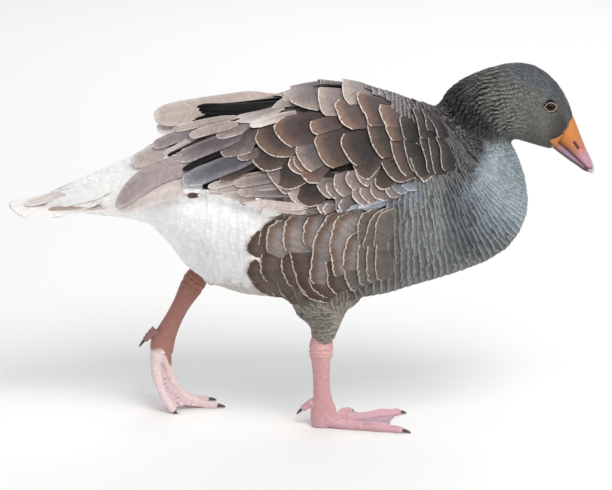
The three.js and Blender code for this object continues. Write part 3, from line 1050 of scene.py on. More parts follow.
@dataclass(frozen=True)
class Plan:
    """How the body feathers change along the bird: one column for each station that is named.

    Pitch is the distance between rows, spacing the distance within a row; both and the feather's own
    length, width, depth, lift and fringe are in millimetres. Gains multiply the coat's colour.
    """

    station: Row = (0, 3, 8, 10.5, 12, 13.5, 15, 16.5, 17.5, 19, 20.5, 23, 26)
    pitch: Row = (8, 7, 7, 7.6, 7.0, 6.0, 5.0, 4.0, 3.2, 2.6, 2.1, 1.7, 1.4)
    spacing: Row = (7, 7, 9, 12, 12, 11, 7, 4, 2.3, 1.9, 1.7, 1.5, 1.3)
    length: Row = (32, 28, 26, 24, 22, 19, 16, 14, 12, 10, 7.5, 5.6, 4)
    width: Row = (16, 16, 19, 22, 22, 20, 13, 7, 3.7, 3.1, 2.7, 2.3, 1.9)
    depth: Row = (1.2, 1.2, 1.4, 2.4, 2.6, 2.2, 1.8, 1.8, 1.8, 1.6, 1.3, 1.0, 0.8)
    lift: Row = (0.1, 0.1, 0.2, 0.6, 0.8, 0.7, 0.6, 0.6, 1.0, 0.8, 0.5, 0.35, 0.2)
    tilt: Row = (0.12, 0.12, 0.12, 0.12, 0.12, 0.12, 0.15, 0.25, 0.4, 0.4, 0.3, 0.2, 0.2)
    fringe: Row = (1, 1, 1.5, 1.7, 1.6, 1.3, 1.0, 0.7, 0.5, 0.4, 0.4, 0.3, 0.3)
    fringe_gain: Row = (1, 1, 1.4, 1.6, 1.6, 1.45, 1.3, 1.3, 1.5, 1.6, 1.6, 1.55, 1.45)
    # Root gain darkens the visible roots: partly the feathers' own darker bases, partly painted shade between
    # the rows.
    root_gain: Row = (0.97, 0.97, 0.55, 0.4, 0.34, 0.42, 0.5, 0.5, 0.28, 0.3, 0.4, 0.45, 0.5)
    uneven: Row = (0.02, 0.02, 0.03, 0.05, 0.05, 0.05, 0.06, 0.12, 0.24, 0.28, 0.3, 0.3, 0.22)

    def at(self, name: str, stations: Array) -> Array:
        """Reads one measure at some stations."""
        return np.interp(stations, self.station, getattr(self, name))


@dataclass
class BodyCoat(Plumage):
    """The small feathers of head, neck, breast, belly and rump, in rows across the flow."""

    covered: Array
    cover_reach: float = 5.0 * MM
    cover_front: float = 120 * MM
    spokes: int = 120
    sections: int = 520
    eye: Spot = (284.8 * MM, 25.8 * MM, 374.3 * MM)
    eye_clear: float = 6.1 * MM
    plan: Plan = field(default_factory=Plan)

    def __post_init__(self) -> None:
        """Measures the surface along spokes round the bird at closely spaced stations."""
        self.stations = np.linspace(0.02, self.chart.last - 0.02, self.sections)
        middle, up, _ = self.chart.plane(self.stations)
        turns = np.linspace(-math.pi, math.pi, self.spokes, endpoint=False)
        side = np.array([0.0, -1.0, 0.0])
        ways = up[:, None] * np.cos(turns)[None, :, None] + side * np.sin(turns)[None, :, None]
        starts = np.repeat(middle[:, None], self.spokes, 1)
        hits, _ = self.form.cast(starts.reshape(-1, 3), ways.reshape(-1, 3))
        self.hits = hits.reshape(self.sections, self.spokes, 3)
        steps = norm(np.diff(self.hits, axis=0), axis=2)
        self.run = np.vstack([np.zeros(self.spokes), np.cumsum(steps, axis=0)])

    def rows(self) -> tuple[Array, Array]:
        """Spaces feather roots over the whole body.

        Returns:
            The roots, and the station of each one's row.
        """
        roots, levels = [], []
        at = number = 0
        while at < self.sections - 1:
            here = self.stations[at]
            pitch, spacing = (float(self.plan.at(key, here)) * MM for key in ("pitch", "spacing"))
            travel = (self.run[at:] - self.run[at]).max(1)
            after = min(at + max(1, int(np.searchsorted(travel, pitch))), self.sections - 1)
            step = self.run[after] - self.run[at]
            # Rows crowd inside a bend, so only every second, fourth or eighth is laid there.
            thin = np.floor(np.log2(np.clip(pitch / np.maximum(step, 1e-6) / 1.4, 1, 8))).astype(int)
            loop = np.vstack([self.hits[at], self.hits[at][:1]])
            arc = np.insert(np.cumsum(norm(np.diff(loop, axis=0), axis=1)), 0, 0)
            count = max(6, int(arc[-1] / spacing))
            marks = (np.arange(count) + 0.5 * (number % 2) + self.rng.uniform(-0.2, 0.2, count)) / count
            marks = np.mod(marks, 1) * arc[-1]
            ring = np.stack([np.interp(marks, arc, loop[:, k]) for k in range(3)], 1)
            spoke = np.searchsorted(arc, marks) % self.spokes
            keep = number % (2 ** thin[spoke]) == 0
            roots.append(ring[keep])
            levels.append(np.full(keep.sum(), here))
            at, number = after, number + 1
        return np.concatenate(roots), np.concatenate(levels)

    def allowed(self, roots: Array, ways: Array, length: Array, wing: Array) -> Array:
        """Tells which feathers lie clear of the eyes and aren't hidden by the large feathers.

        Args:
            roots: where the feathers start.
            ways: where they point.
            length: how long they are.
            wing: how much of the dark wing lies there.

        Returns:
            True for each feather to keep.
        """
        clear = np.ones(len(roots), bool)
        for reach in (0.0, 1.6 * MM, 3.2 * MM, 4.6 * MM):
            gap = np.abs(roots + ways * reach) - np.array(self.eye)
            clear &= norm(gap, axis=1) > self.eye_clear
        tree = KDTree(len(self.covered))
        for k, place in enumerate(self.covered.tolist()):
            tree.insert(place, k)
        tree.balance()
        hem = self.markings.hem_share(*(roots[:, ::2] / MM).T)
        wander = 9 * MM * np.sin(roots[:, 2] * 210) * np.sin(roots[:, 2] * 90 + 1)
        hidden = roots[:, 0] < self.cover_front + wander
        for share in (0.15, 0.6, 1.0):
            spots = roots + ways * (length * share)[:, None]
            near = np.array([tree.find(spot)[2] for spot in spots.tolist()])
            hidden &= near < self.cover_reach * (1 + 0.9 * wing - 1.3 * wing * hem)
        return clear & ~hidden & ~self.chart.bare(roots)

    def vanes(self) -> tuple[Vanes, Array]:
        """Sizes and colours all the body feathers.

        Returns:
            The feathers and their stations.
        """
        roots, stations = self.rows()
        roots, normals = self.form.nearest(roots)
        ways = self.chart.flow(roots, normals)
        x, y, z = (roots / MM).T
        wave = np.sin(z * 0.16 + x * 0.05) + 0.8 * np.sin(z * 0.31 - x * 0.11 + 1.7)
        wave = wave + 0.7 * np.sin(y * 0.2 + x * 0.23)
        wave = wave * 0.8 * MM * rise(9, 10.5, stations) * rise(17, 15.5, stations)
        roots, normals = self.form.nearest(roots + ways * wave[:, None])
        side = np.cross(ways, normals)
        ways = unit(ways + side * self.rng.normal(0, 0.05, (len(roots), 1)))
        wing = self.markings.wing_share(roots, self.chart)
        keep = self.allowed(roots, ways, self.plan.at("length", stations) * MM, wing)
        roots, ways, stations, wing = roots[keep], ways[keep], stations[keep], wing[keep]
        keys = ("length", "width", "depth", "lift", "tilt")
        measure = {key: self.plan.at(key, stations) * MM for key in keys}
        total = len(roots)
        size = 1 + self.rng.uniform(-0.1, 0.1, total) * np.where((stations > 8) & (stations < 15.5), 0.15, 1)
        tone = self.markings.coat(roots + ways * (measure["length"] * 0.8)[:, None], self.chart)
        spread = self.rng.normal(0, 1, total) * self.plan.at("uneven", stations)
        tone[:, :3] *= 1 + np.clip(spread, -0.38, 0.5)[:, None]
        tone = np.clip(tone, 0.002, 1.0)
        bright = rise(0.42, 0.62, tone[:, 1])
        root_gain, edge_gain = (self.plan.at(key, stations) for key in ("root_gain", "fringe_gain"))
        # Root tone: darker bases and painted shade between the rows, except on the pale feathers.
        root_tone = tone.copy()
        root_tone[:, :3] *= (root_gain + (0.99 - root_gain) * bright)[:, None]
        faint = (1 - (0.5 + 0.5 * self.bands(roots)))[:, None] * (stations < 17)[:, None]
        root_tone[:, :3] += (tone[:, :3] - root_tone[:, :3]) * faint
        fringe = self.markings.fringe(roots, tone, edge_gain + (1 - edge_gain) * bright, self.chart)
        near_leg = (roots[:, 0] > -30 * MM) * (roots[:, 0] < 70 * MM)
        shrink = 1 - 0.5 * rise(172 * MM, 150 * MM, roots[:, 2]) * near_leg
        vanes = Vanes(
            roots=roots, ways=ways,
            length=measure["length"] * size * shrink,
            width=measure["width"] * size * shrink,
            depth=measure["depth"] * shrink + 1.3 * MM * wing,
            lift=measure["lift"] * self.rng.uniform(0.7, 1.3, total),
            tilt=measure["tilt"] * np.where(roots[:, 1] > 0, 1, -1),
            root_tone=root_tone, tip_tone=tone, fringe_tone=fringe,
            fringe_width=(self.plan.at("fringe", stations) + 0.3 * wing) * MM,
            bend=self.rng.normal(0, 0.04, total) * measure["length"],
        )
        return vanes, stations

    def bands(self, places: Array) -> Array:
        """Gives how strongly the rows show at each place, from -1 to 1: they fade in and out.

        Args:
            places: places on the form.

        Returns:
            The strengths.
        """
        x, y, z = (places / MM).T
        swell = np.sin(x * 0.071 + z * 0.043 + 1) + np.sin(z * 0.093 - x * 0.031)
        swell = swell + np.sin(y * 0.08 + z * 0.05)
        return np.clip(swell / 2 + 0.25, -1, 1)

    def ridges(self, points: Array) -> Array:
        """Gives the height of the long ridges that the neck feathers gather in.

        Args:
            points: places on the form.

        Returns:
            Heights above the form.
        """
        t = self.chart.station(points)
        a = self.chart.angle(points, t)
        begin = np.interp(np.degrees(np.abs(a)), *zip(*Markings.neck_start))
        share = rise(-0.4, 0.9, t - begin) * rise(22.5, 18.6, t) * rise(2.9, 2.2, np.abs(a))
        wander = 1.3 * np.sin(t * 2.3 + a * 2.0) + 1.0 * np.sin(t * 4.1 - a * 5.0 + 1.0)
        wander = wander + 0.6 * np.sin(t * 7 + a * 9)
        swell = 0.75 + 0.25 * np.sin(t * 3.1 + a * 7.0)
        crest = 2 * (0.5 + 0.5 * np.cos(a * 44 + wander)) ** 1.4 - 1
        return share * (crest * 1.35 * swell + 0.25) * MM

    def build(self, material: Material) -> None:
        """Builds the body plumage, one piece for each main region.

        Args:
            material: the plumage's finish.
        """
        coarse = VaneShape(
            3, 11, stem=0.9, shoulder=0.985, blunt=5, crown=0.0, ragged=0.045, ramp=(0.66, 0.96), streak=0.1,
            sided=False,
        )
        plain = replace(coarse, streak=0.008, ragged=0.14, shoulder=0.92, blunt=3)
        fine = VaneShape(4, 3, stem=0.5, shoulder=0.7, blunt=2.2, crown=0.12, ragged=0.2, ramp=(0.3, 0.9))
        tiny = VaneShape(3, 2, stem=0.5, shoulder=0.65, blunt=2.0, crown=0.2, ragged=0.2, ramp=(0.2, 0.9))
        vanes, stations = self.vanes()
        # Painted light and shade on the neck: each feather's tones lightened on the ridges and darkened in
        # the furrows, by the ridge height.
        height = self.ridges(vanes.roots + vanes.ways * vanes.length[:, None] * 0.7) / MM
        for tone in (vanes.root_tone, vanes.tip_tone, vanes.fringe_tone):
            tone[:, :3] *= np.clip(0.98 + 0.95 * height, 0.08, 2.5)[:, None]
        for name, first, last, shape, slot in (
            ("rear", 0, 8, plain, "white_plumage"),
            ("belly", 8, 11, coarse, "breast_plumage"),
            ("breast", 11, 15.6, coarse, "breast_plumage"),
            ("low_neck", 15.6, 17.2, fine, "breast_plumage"),
            ("neck", 17.2, 20.2, fine, "face_plumage"),
            ("head", 20.2, 30, tiny, "face_plumage"),
        ):
            coat = self.piece("coat_" + name)
            coat.lay(vanes.picked((stations >= first) & (stations < last)), shape, self.ridges)
            coat.build(material, slot)


@dataclass
class LegCoat(Plumage):
    """The short feathers on the feathered part of each leg, in rows round its own axis."""

    around: int = 22
    pitch: float = 2.6 * MM
    farthest: float = 46 * MM
    right_axis: tuple[Spot, ...] = (
        (33, -45, 182), (28, -44, 168), (25.5, -42, 149), (27.5, -39, 134), (27.5, -37, 121), (26, -36, 113),
    )
    left_axis: tuple[Spot, ...] = ((-58, 46, 196), (-84, 42, 182), (-104, 38, 168), (-113, 36.5, 160))

    def build(self, material: Material) -> None:
        """Builds the coats of both legs.

        Args:
            material: the plumage's finish.
        """
        shape = VaneShape(rows=4, columns=3, stem=0.5, shoulder=0.6, blunt=2.2, crown=0.14, ragged=0.15)
        uniform = self.rng.uniform
        for side, axis in ((Side.RIGHT, self.right_axis), (Side.LEFT, self.left_axis)):
            path = np.array(axis) * MM
            reach = norm(np.diff(path, axis=0), axis=1).sum()
            middles = catmull(path, np.linspace(0.0, 1.0, int(reach / self.pitch)))
            along = unit(np.gradient(middles, axis=0))
            across = unit(np.cross(along, (0.0, 1.0, 0.0)))
            third = np.cross(along, across)
            roots, ways = [], []
            for number, (middle, one, two, way) in enumerate(zip(middles, across, third, along)):
                turns = (np.arange(self.around) + 0.5 * (number % 2)) / self.around * math.tau
                hits, _ = self.form.cast(middle, np.cos(turns)[:, None] * one + np.sin(turns)[:, None] * two)
                near = norm(hits - middle, axis=1) < self.farthest
                roots.append(hits[near])
                ways.append(np.repeat(way[None], near.sum(), 0))
            roots, ways = np.concatenate(roots), np.concatenate(ways)
            total = len(roots)
            tone = self.markings.coat(roots, self.chart)
            tone[:, :3] *= 1 + self.rng.normal(0, 0.07, (total, 1))
            coat = self.piece(f"coat_leg_{side.label}")
            coat.lay(Vanes(
                roots=roots, ways=unit(ways + self.rng.normal(0, 0.06, (total, 3))),
                length=uniform(8, 11, total) * MM, width=uniform(4.6, 6, total) * MM,
                depth=np.full(total, 1.8 * MM), lift=uniform(0.1, 0.6, total) * MM,
                tilt=np.full(total, 0.3 * MM),
                root_tone=tone * (0.8, 0.8, 0.8, 1), tip_tone=tone, fringe_tone=tone * (1.1, 1.1, 1.1, 1),
                fringe_width=np.full(total, 0.6 * MM),
            ), shape)
            coat.build(material, "breast_plumage")


# ---- wing and flank feathers


class Tone(Enum):
    """The colourings of the large feathers: root, towards the tip, fringe."""

    TAN = ("594b4a", "84695b", "cfc4bb")
    BROWN = ("4a3f3c", "735d51", "c3b7ae")
    DARK = ("3a3432", "5a4a43", "bdb3ab")
    SLATE = ("282627", "403a36", "a39d9a")
    PLUM = ("605858", "887873", "cbc0ba")
    LILAC = ("7d7377", "a39592", "d2c8c3")
    GREY = ("706e73", "8f8c93", "bfbcbd")
    PALE = ("9a8d88", "b5a7a1", "d8cfca")
    CREAM = ("b5a8a4", "cdc2be", "e0dad6")
    SOFT = ("857a79", "a5978f", "d5cbc5")
    WHITE = ("e6e5e4", "ecebea", "efeeed")
    STRIPE = ("a58d80", "a9958b", "cfc3bb")
    HAZE = ("9299a2", "aab1ba", "cfd4da")
    FROST = ("61656b", "777b82", "a6aab0")
    PINK = ("a4978f", "cbbfba", "dfd7d3")
    MAUVE = ("a69999", "c5b8b4", "ddd5d1")
    SAND = ("c2b3ac", "d6c9c3", "e2dad6")
    ROSE = ("cabfbc", "e0d7d3", "ebe6e4")
    FLANK = ("857c79", "6d574a", "cfc6bd")
    FLANK_FRONT = ("5b5753", "665b54", "b5aea5")
    FLANK_LOW = ("5d504b", "4d3b32", "b9aea4")
    BLACK = ("0f0e0e", "151313", "1b1817")
    TAIL = ("cfc3bb", "ebe8e6", "f1f0ef")

    @property
    def colours(self) -> tuple[Colour, ...]:
        """The three colours in linear light."""
        return tuple(linear(code) for code in self.value)


T = Tone


def pixels(text: str) -> Array:
    """Reads pixel positions, written as pairs."""
    return np.array([[float(n) for n in pair.split(",")] for pair in text.split()])


@dataclass(frozen=True)
class Laid:
    """One large feather, named for its place: the edge of its tip from its upper to its lower end."""

    name: str
    edge: str
    tone: Tone
    length: float = 52.0
    level: float = 0.0
    fringe: float = 1.1

    @property
    def tip(self) -> Array:
        """The tip's edge as pixel positions."""
        return pixels(self.edge)


@dataclass(frozen=True)
class Strip:
    """One long slim feather, named for its place: its tip, root and width in pixels."""

    name: str
    ends: str
    wide: float
    tone: Tone
    level: float = 0.0
    fringe: float = 0.8

    @property
    def length(self) -> float:
        """The length in millimetres, with the part that lies under the next feather."""
        tip, root = pixels(self.ends)
        return float(norm(root - tip) * Lens.pixel_size / MM) * 1.08

    @property
    def tip(self) -> Array:
        """The tip's round edge as pixel positions, upper end first.

        Returns:
            The edge's places.
        """
        tip, root = pixels(self.ends)
        way = unit(tip - root)
        turn = np.linspace(-math.pi / 2, math.pi / 2, 7)[:, None]
        side = np.array([-way[1], way[0]]) * (1 if way[0] > 0 else -1)
        return tip + way * self.wide * (np.cos(turn) * 0.9 - 0.9) + side * np.sin(turn) * self.wide / 2


WING_FEATHERS: tuple[Laid | Strip, ...] = (
    # Painted shade: a dark strip laid along the shadow under the long grey feather's edge.
    Strip("dark_under_grey", "187,195 211,192", 6, T.DARK, -0.4, 0.3),
    Strip("hem_rear", "296,210 352,208", 8, T.PLUM, -0.7),
    Strip("hem_middle", "334,210 394,203", 10, T.HAZE, -0.4),
    Strip("hem_front", "358,207 414,190", 11, T.HAZE, -0.3),
    Strip("band_between_low", "238,192 304,193", 9, T.SOFT, -0.45),
    Strip("band_between_top", "234,184 288,176", 10, T.SOFT, -0.35),
    Strip("band_third", "222,195 298,196", 10, T.PINK, -0.3),
    Strip("band_second", "206,190 290,187", 8, T.CREAM, -0.2),
    Strip("band_first", "208,187 266,176", 8, T.PINK, -0.1),
    Strip("band_dark", "220,181 258,164", 8, T.DARK, 0.1, 0.5),
    # Painted shade: a black strip where shade falls under the long lilac feather.
    Strip("gap_under_lilac", "184,171 232,150", 6, T.BLACK, 2.6, 0.2),
    Strip("long_grey", "183.5,184 256,157", 18, T.GREY, 3.6, 1.0),
    Strip("long_lilac", "176,161 244,139", 15, T.LILAC, 4.2, 1.0),
    Strip("covert_small", "238,159 268,150", 9, T.PLUM, 1.2),
    Laid("covert_plum", "221,150 222,154 227,159 234,160 252,155", T.PLUM, 60, 0.6),
    Strip("covert_pale", "250,127 292,113", 9, T.ROSE, 0.4),
    Strip("covert_pale_rear", "235,120 282,112", 13, T.CREAM, 0.2, 1.0),
    Laid("covert_tan_top", "220,131 219,135 223,142 230,144 246,138", T.SOFT, 56, 0.8),
    Laid("row_e_first", "253,156 253,162 259,169 268,173 280,170", T.DARK, 52, 1.0),
    Laid("row_d_first", "257,132 255,140 262,151 273,159 289,160", T.BROWN, 60, 1.2),
    Laid("top_rear", "276,89 271,93 273,96 284,97", T.PALE, 44, -0.6),
    Laid("saddle_upper", "291,86 283,90 282,95 290,98", T.SOFT, 46, 0.4),
    Laid("saddle_lower", "285,98 290,107 298,111 313,114", T.SOFT, 46, 0.8),
    Laid("saddle_next", "318,86 317,97 319,108 322,115", T.SOFT, 44, 1.0),
    Laid("saddle_third", "341,84 341,92 342,100 346,106", T.SOFT, 40, 1.2),
    Laid("row_c_first", "282,116 274,124 273,130 279,140 288,147", T.TAN, 62, 1.6),
    Laid("row_e_second_under", "266,173 275,185 284,195", T.PLUM, 40, 0.3),
    Laid("row_e_second", "274,174 273,179 280,188 292,191 304,185", T.DARK, 52, 1.0),
    Laid("row_e_third_under", "285,190 293,202 305,210", T.LILAC, 40, 0.3),
    Laid("row_e_third", "296,190 294,195 299,204 308,208 320,206", T.DARK, 52, 0.9),
    Laid("row_d_small_a", "289,160 288,166 293,172 299,175", T.TAN, 34, 0.5),
    Laid("row_d_small_b", "293,158 294,165 301,172", T.BROWN, 34, 0.8),
    Laid("row_d_second", "295,149 297,157 303,167 309,173", T.PLUM, 48, 1.4),
    Laid("row_d_third", "299,170 302,177 308,183 316,184", T.TAN, 44, 0.8),
    Laid("row_b_first", "310,123 310,128 312,133 316,136", T.TAN, 46, 1.2),
    Laid("row_b_second", "315,136 313,143 317,155 323,165 330,170", T.BROWN, 56, 1.8),
    Laid("row_a_first", "337,101 334,107 337,116 341,126 349,131", T.TAN, 54, 2.0),
    Laid("row_a_second", "342,136 340,143 343,152 348,161 354,167", T.DARK, 52, 2.0),
    Laid("row_a_third", "351,163 355,172 361,180 368,182 379,169", T.DARK, 50, 1.6),
    Laid("row_r_first_top", "357,93 356,100 359,108 363,116", T.TAN, 48, 2.0),
    Laid("row_r_first_mid", "362,108 364,116 366,124 368,128", T.BROWN, 46, 2.0),
    Laid("row_r_first_low", "366,124 368,136 372,148 379,159", T.DARK, 50, 2.0),
    Laid("row_l_first", "380,159 383,169 391,180 400,186 414,179", T.DARK, 48, 1.8),
    Laid("row_l_small", "375,180 375,185 380,190 388,189", T.DARK, 34, 1.2),
    Laid("row_l_last", "417,171 419,178 423,183 430,178", T.DARK, 34, 1.4),
    Laid("row_s_top", "379,106 378,113 381,121 384,127", T.TAN, 44, 2.2),
    Laid("row_s_mid", "384,124 385,131 388,138 390,142", T.BROWN, 42, 2.2),
    Laid("row_s_low", "389,140 391,153 395,166 402,177", T.DARK, 46, 2.2),
    Laid("row_u_top", "399,116 398,122 400,132 402,140", T.SLATE, 40, 2.3),
    Laid("row_u_mid", "402,140 403,150 406,162 410,172", T.SLATE, 42, 2.3),
    Laid("row_u_low", "407,150 409,160 412,169 416,177", T.SLATE, 40, 2.4),
    Laid("row_v_top", "411,110 415,122 418,138", T.SLATE, 36, 2.4, 1.0),
    Laid("row_v_low", "418,138 420,148 424,160 425,172", T.SLATE, 36, 2.4, 1.0),
    Laid("row_w_top", "420,112 423,120 424,130", T.SLATE, 32, 2.4, 0.9),
    Laid("row_w_low", "427,137 428,150 430,162 432,173", T.SLATE, 32, 2.5, 0.9),
    Laid("row_x_top", "425,118 431,128 434,138", T.SLATE, 30, 2.5, 0.9),
    Laid("row_x_low", "434,138 438,149 439,160 441,170", T.SLATE, 30, 2.5, 0.9),
    Laid("small_a", "317,180 317,187 322,194 328,199", T.PLUM, 30, 0.4),
    Laid("small_b", "326,184 326,190 330,196 334,199", T.PLUM, 28, 0.5),
    Laid("small_c", "334,176 333,184 336,192 342,197", T.PLUM, 30, 0.5),
    Laid("small_d", "347,173 345,179 348,186 353,191", T.PLUM, 28, 0.6),
    Laid("small_e", "354,170 357,178 361,184 366,187", T.PLUM, 28, 0.6),
    Laid("small_f", "318,203 317,208 320,213", T.PLUM, 22, 0.2),
    Laid("small_g", "326,201 322,207 324,213", T.PLUM, 24, 0.2),
    Laid("small_h", "340,199 337,204 340,212", T.PLUM, 26, 0.2),
    Laid("small_i", "352,189 352,197 357,203 365,208", T.PLUM, 28, 0.3),
    Laid("small_j", "361,185 359,192 363,199 371,205", T.PLUM, 28, 0.4),
    Laid("small_k", "371,186 370,192 375,199 385,202", T.PLUM, 28, 0.5),
    Laid("small_l", "385,187 386,193 391,199 398,200", T.PLUM, 26, 0.5),
    Laid("small_m", "391,185 395,191 401,195 410,192", T.FROST, 24, 0.6),
    Laid("small_n", "402,186 408,191 415,191", T.FROST, 22, 0.8),
)
FLANK_FEATHERS: tuple[Laid, ...] = (
    Laid("rear_patch_top", "258,229 250,236 246,245 246,251 252,255", T.FLANK_LOW, 34, 0.4, 1.0),
    Laid("rear_patch_low", "258,257 250,260 246,266 247,275 253,282", T.FLANK_LOW, 36, 0.4, 1.0),
    Laid("rear_low", "248,277 251,284 258,290 270,296", T.FLANK_LOW, 30, 0.3, 1.0),
    Laid("rear_thigh", "262,283 272,290 284,299 300,307 318,311", T.FLANK_LOW, 34, -0.5),
    Laid("first_outer", "284,217 269,219 262,225 259,235 258,248", T.FLANK_LOW, 40, -0.4),
    Laid("first_low", "262,251 259,262 260,271 264,281", T.FLANK_LOW, 44, -0.2),
    Laid("first_last", "264,281 271,291 280,299 293,306", T.FLANK_LOW, 40, -0.2),
    Laid("first_top", "286,218 273,222 267,228 266,238 266,250", T.FLANK, 42, 0.0),
    Laid("second_last", "273,281 279,290 288,299 303,307", T.FLANK_LOW, 42, 0.1),
    Laid("second_low", "280,258 280,268 283,276 288,286", T.FLANK_LOW, 38, 0.1, 1.2),
    Laid("second_top", "296,213 287,217 283,224 282,234 283,248", T.FLANK, 46, 0.5, 1.3),
    Laid("third_low", "289,249 290,262 293,272 297,283 302,291", T.FLANK_LOW, 44, 0.5),
    Laid("third_last", "296,284 302,292 311,300 324,305", T.FLANK_LOW, 36, 0.3),
    Laid("third_top", "320,210 310,213 305,219 303,228 302,240", T.FLANK, 46, 1.0, 1.2),
    Laid("fourth_last", "308,275 310,285 316,293 324,299", T.FLANK_LOW, 36, 0.7),
    Laid("fourth_low", "311,243 311,256 309,268 309,280", T.FLANK, 42, 0.9),
    Laid("fourth_top", "341,211 329,214 321,221 315,231 311,244", T.FLANK, 50, 1.4, 1.2),
    Laid("fifth_last", "324,262 326,272 327,283 332,293", T.FLANK_LOW, 34, 1.0),
    Laid("fifth_low", "328,244 330,256 331,264 332,274", T.FLANK, 38, 1.3),
    Laid("fifth_top", "356,210 342,213 334,219 331,229 328,246", T.FLANK, 46, 1.7, 1.2),
    Laid("sixth_low", "344,262 343,272 346,283 349,292", T.FLANK_FRONT, 34, 1.3),
    Laid("sixth_top", "354,231 347,236 344,246 342,257 341,268", T.FLANK, 38, 1.6),
    Laid("seventh_low", "358,243 356,255 356,268 359,284", T.FLANK_FRONT, 34, 1.75),
    Laid("seventh_top", "374,208 362,212 357,219 356,231 358,243", T.FLANK_FRONT, 40, 1.9, 1.0),
    Laid("eighth_low", "367,242 365,254 365,268 367,281", T.FLANK_FRONT, 32, 1.9, 1.0),
    Laid("eighth_top", "384,207 374,212 368,221 365,232 361,245", T.FLANK_FRONT, 38, 2.0, 1.0),
    Laid("ninth_low", "376,240 374,252 374,266 376,279", T.FLANK_FRONT, 30, 2.0, 0.9),
    Laid("ninth_top", "390,208 380,213 375,222 374,233 372,244", T.FLANK_FRONT, 34, 2.1, 0.9),
)


@dataclass
class LargeFeathers(Plumage):
    """The large feathers of both wings and flanks, laid one by one along the edges of their tips."""

    lift: float = 1.6
    samples: int = 25

    def trace(self, one: Laid | Strip) -> tuple:
        """Turns the edge of a tip on the right side to a feather on the form.

        Args:
            one: the feather.

        Returns:
            Its root, way, length, width, level, fringe width, colours and outline.
        """
        steps = np.linspace(0, 1, self.samples)
        places, normals = self.form.cast(self.lens.place, self.lens.rays(catmull(one.tip, steps)))
        chord = places[-1] - places[0]
        normal = unit(normals.mean(0))
        way = unit(np.cross(chord, normal))
        bulge = ((places - places[0]) * way).sum(1)
        if way[0] > 0:
            way, bulge = -way, -bulge
        width = norm(chord) * 1.1
        LOG.debug("%s: %.0f mm wide", one.name, width / MM)
        way = unit(way - (way @ normal) * normal)
        middle = (places[0] + places[-1]) / 2
        across = (places - middle) @ np.cross(way, normal) / (width / 2)
        order = np.argsort(across)
        marks = np.linspace(-1, 1, self.samples)
        reach = np.interp(marks, across[order], bulge[order])
        reach = reach - 0.06 * width * rise(0.85, 1.0, np.abs(marks))
        outline = 1 + (reach - reach.max()) / (one.length * MM)
        root = middle + way * reach.max() - way * one.length * MM
        return root, way, one.length * MM, width, one.level * MM, one.fringe * MM, one.tone.colours, outline

    def spread(self, laid: Sequence[Laid | Strip]) -> Vanes:
        """Turns tip edges on the right side to feathers on the form, given from the hindmost on.

        Args:
            laid: the feathers, from the hindmost to the foremost.

        Returns:
            The feathers as vanes.
        """
        rows = zip(*(self.trace(one) for one in laid))
        roots, ways, length, width, level, fringe, tones, outline = (np.array(row) for row in rows)
        return Vanes(
            roots, ways, length, width,
            depth=np.full(len(laid), 2.2 * MM) - 0.35 * level,
            lift=self.lift * MM + level,
            tilt=np.full(len(laid), -0.9 * MM),
            root_tone=tones[:, 0], tip_tone=tones[:, 1], fringe_tone=tones[:, 2],
            fringe_width=fringe, outline=outline,
        )

    def build(self, material: Material) -> Array:
        """Builds the large feathers of both wings and flanks.

        Args:
            material: the plumage's finish.

        Returns:
            Places that they cover, for leaving out small feathers there.
        """
        wing = VaneShape(
            14, 11, stem=0.7, crown=0.06, ragged=0.012, sided=False, rim=(3, 17), deep=(16, 38), streak=0.05,
        )
        flank = VaneShape(
            12, 21, stem=0.8, crown=0.03, ragged=0.05, sided=False, rim=(5, 12), deep=(17, 32), streak=0.08,
        )
        covered = []
        for name, laid, shape, slot in (
            ("wing_feathers", WING_FEATHERS, wing, "wing_plumage"),
            ("flank_feathers", FLANK_FEATHERS, flank, "breast_plumage"),
        ):
            vanes = self.spread(laid)
            tint = 1 + self.rng.normal(0, 0.06, (len(laid), 1))
            vanes.root_tone[:, :3] *= tint
            vanes.tip_tone[:, :3] *= tint
            for side, one in ((Side.RIGHT, vanes), (Side.LEFT, vanes.mirrored())):
                coat = self.piece(f"{name}_{side.label}")
                coat.lay(one, shape)
                covered.extend(part[0] for part in coat.parts)
                coat.build(material, slot)
        return np.concatenate(covered)


# ---- tertials, primaries and tail


@dataclass(frozen=True)
class Blade:
    """One long stiff feather, named for its place, that stands free of the body and faces one way.

    Its root and tip are pixel positions with a third number, the place's Y in millimetres. Its bend is
    how far its middle leaves the straight line sideways, in millimetres.
    """

    name: str
    root: Spot
    tip: Spot
    width: float
    tone: Tone
    facing: Spot = (-0.1, -0.86, 0.5)
    sag: float = 3.0
    fringe: float = 1.0
    bend: float = 0.0


TERTIALS: tuple[Blade, ...] = (
    Blade("pale_low", (200, 182, -76), (117, 210, -57), 25, T.ROSE, sag=7, bend=1.5),
    Blade("mauve_long", (199, 161, -67), (115, 207, -58), 27, T.MAUVE, sag=8, bend=9),
    Blade("band_low", (306, 212, -113), (262, 208, -107), 8, T.PINK, sag=2),
    Blade("band_long", (304, 208, -113), (238, 201, -99), 9, T.CREAM, sag=2),
)
REAR_TERTIAL = Blade("upper_rear", (206, 142, -46), (131, 162, -32), 23, T.CREAM, (-0.1, -0.75, 0.6))
COVERTS: tuple[Blade, ...] = (
    Blade("covert_lower", (106, 193, -38), (44, 212, -26), 22, T.WHITE, (0, -0.97, 0.2), 4, 0.3),
    Blade("covert_middle", (112, 187, -38), (36, 207, -20), 22, T.WHITE, (0, -0.75, 0.66), 3, 0.3),
)
TAIL_STRIPES: tuple[Blade, ...] = (
    Blade("stripe_high", (82, 189, -25), (24, 204, -20), 14, T.ROSE, (0, -0.5, 0.85), 1, 0.5),
    Blade("stripe_low", (110, 203, -32), (48, 209, -36), 10, T.STRIPE, (0, -0.3, 0.95), 1, 0.5),
    Blade("stripe_middle", (84, 195, -26), (56, 202, -26), 3.5, T.PLUM, (0, -0.3, 0.95), 1, 0.3),
)
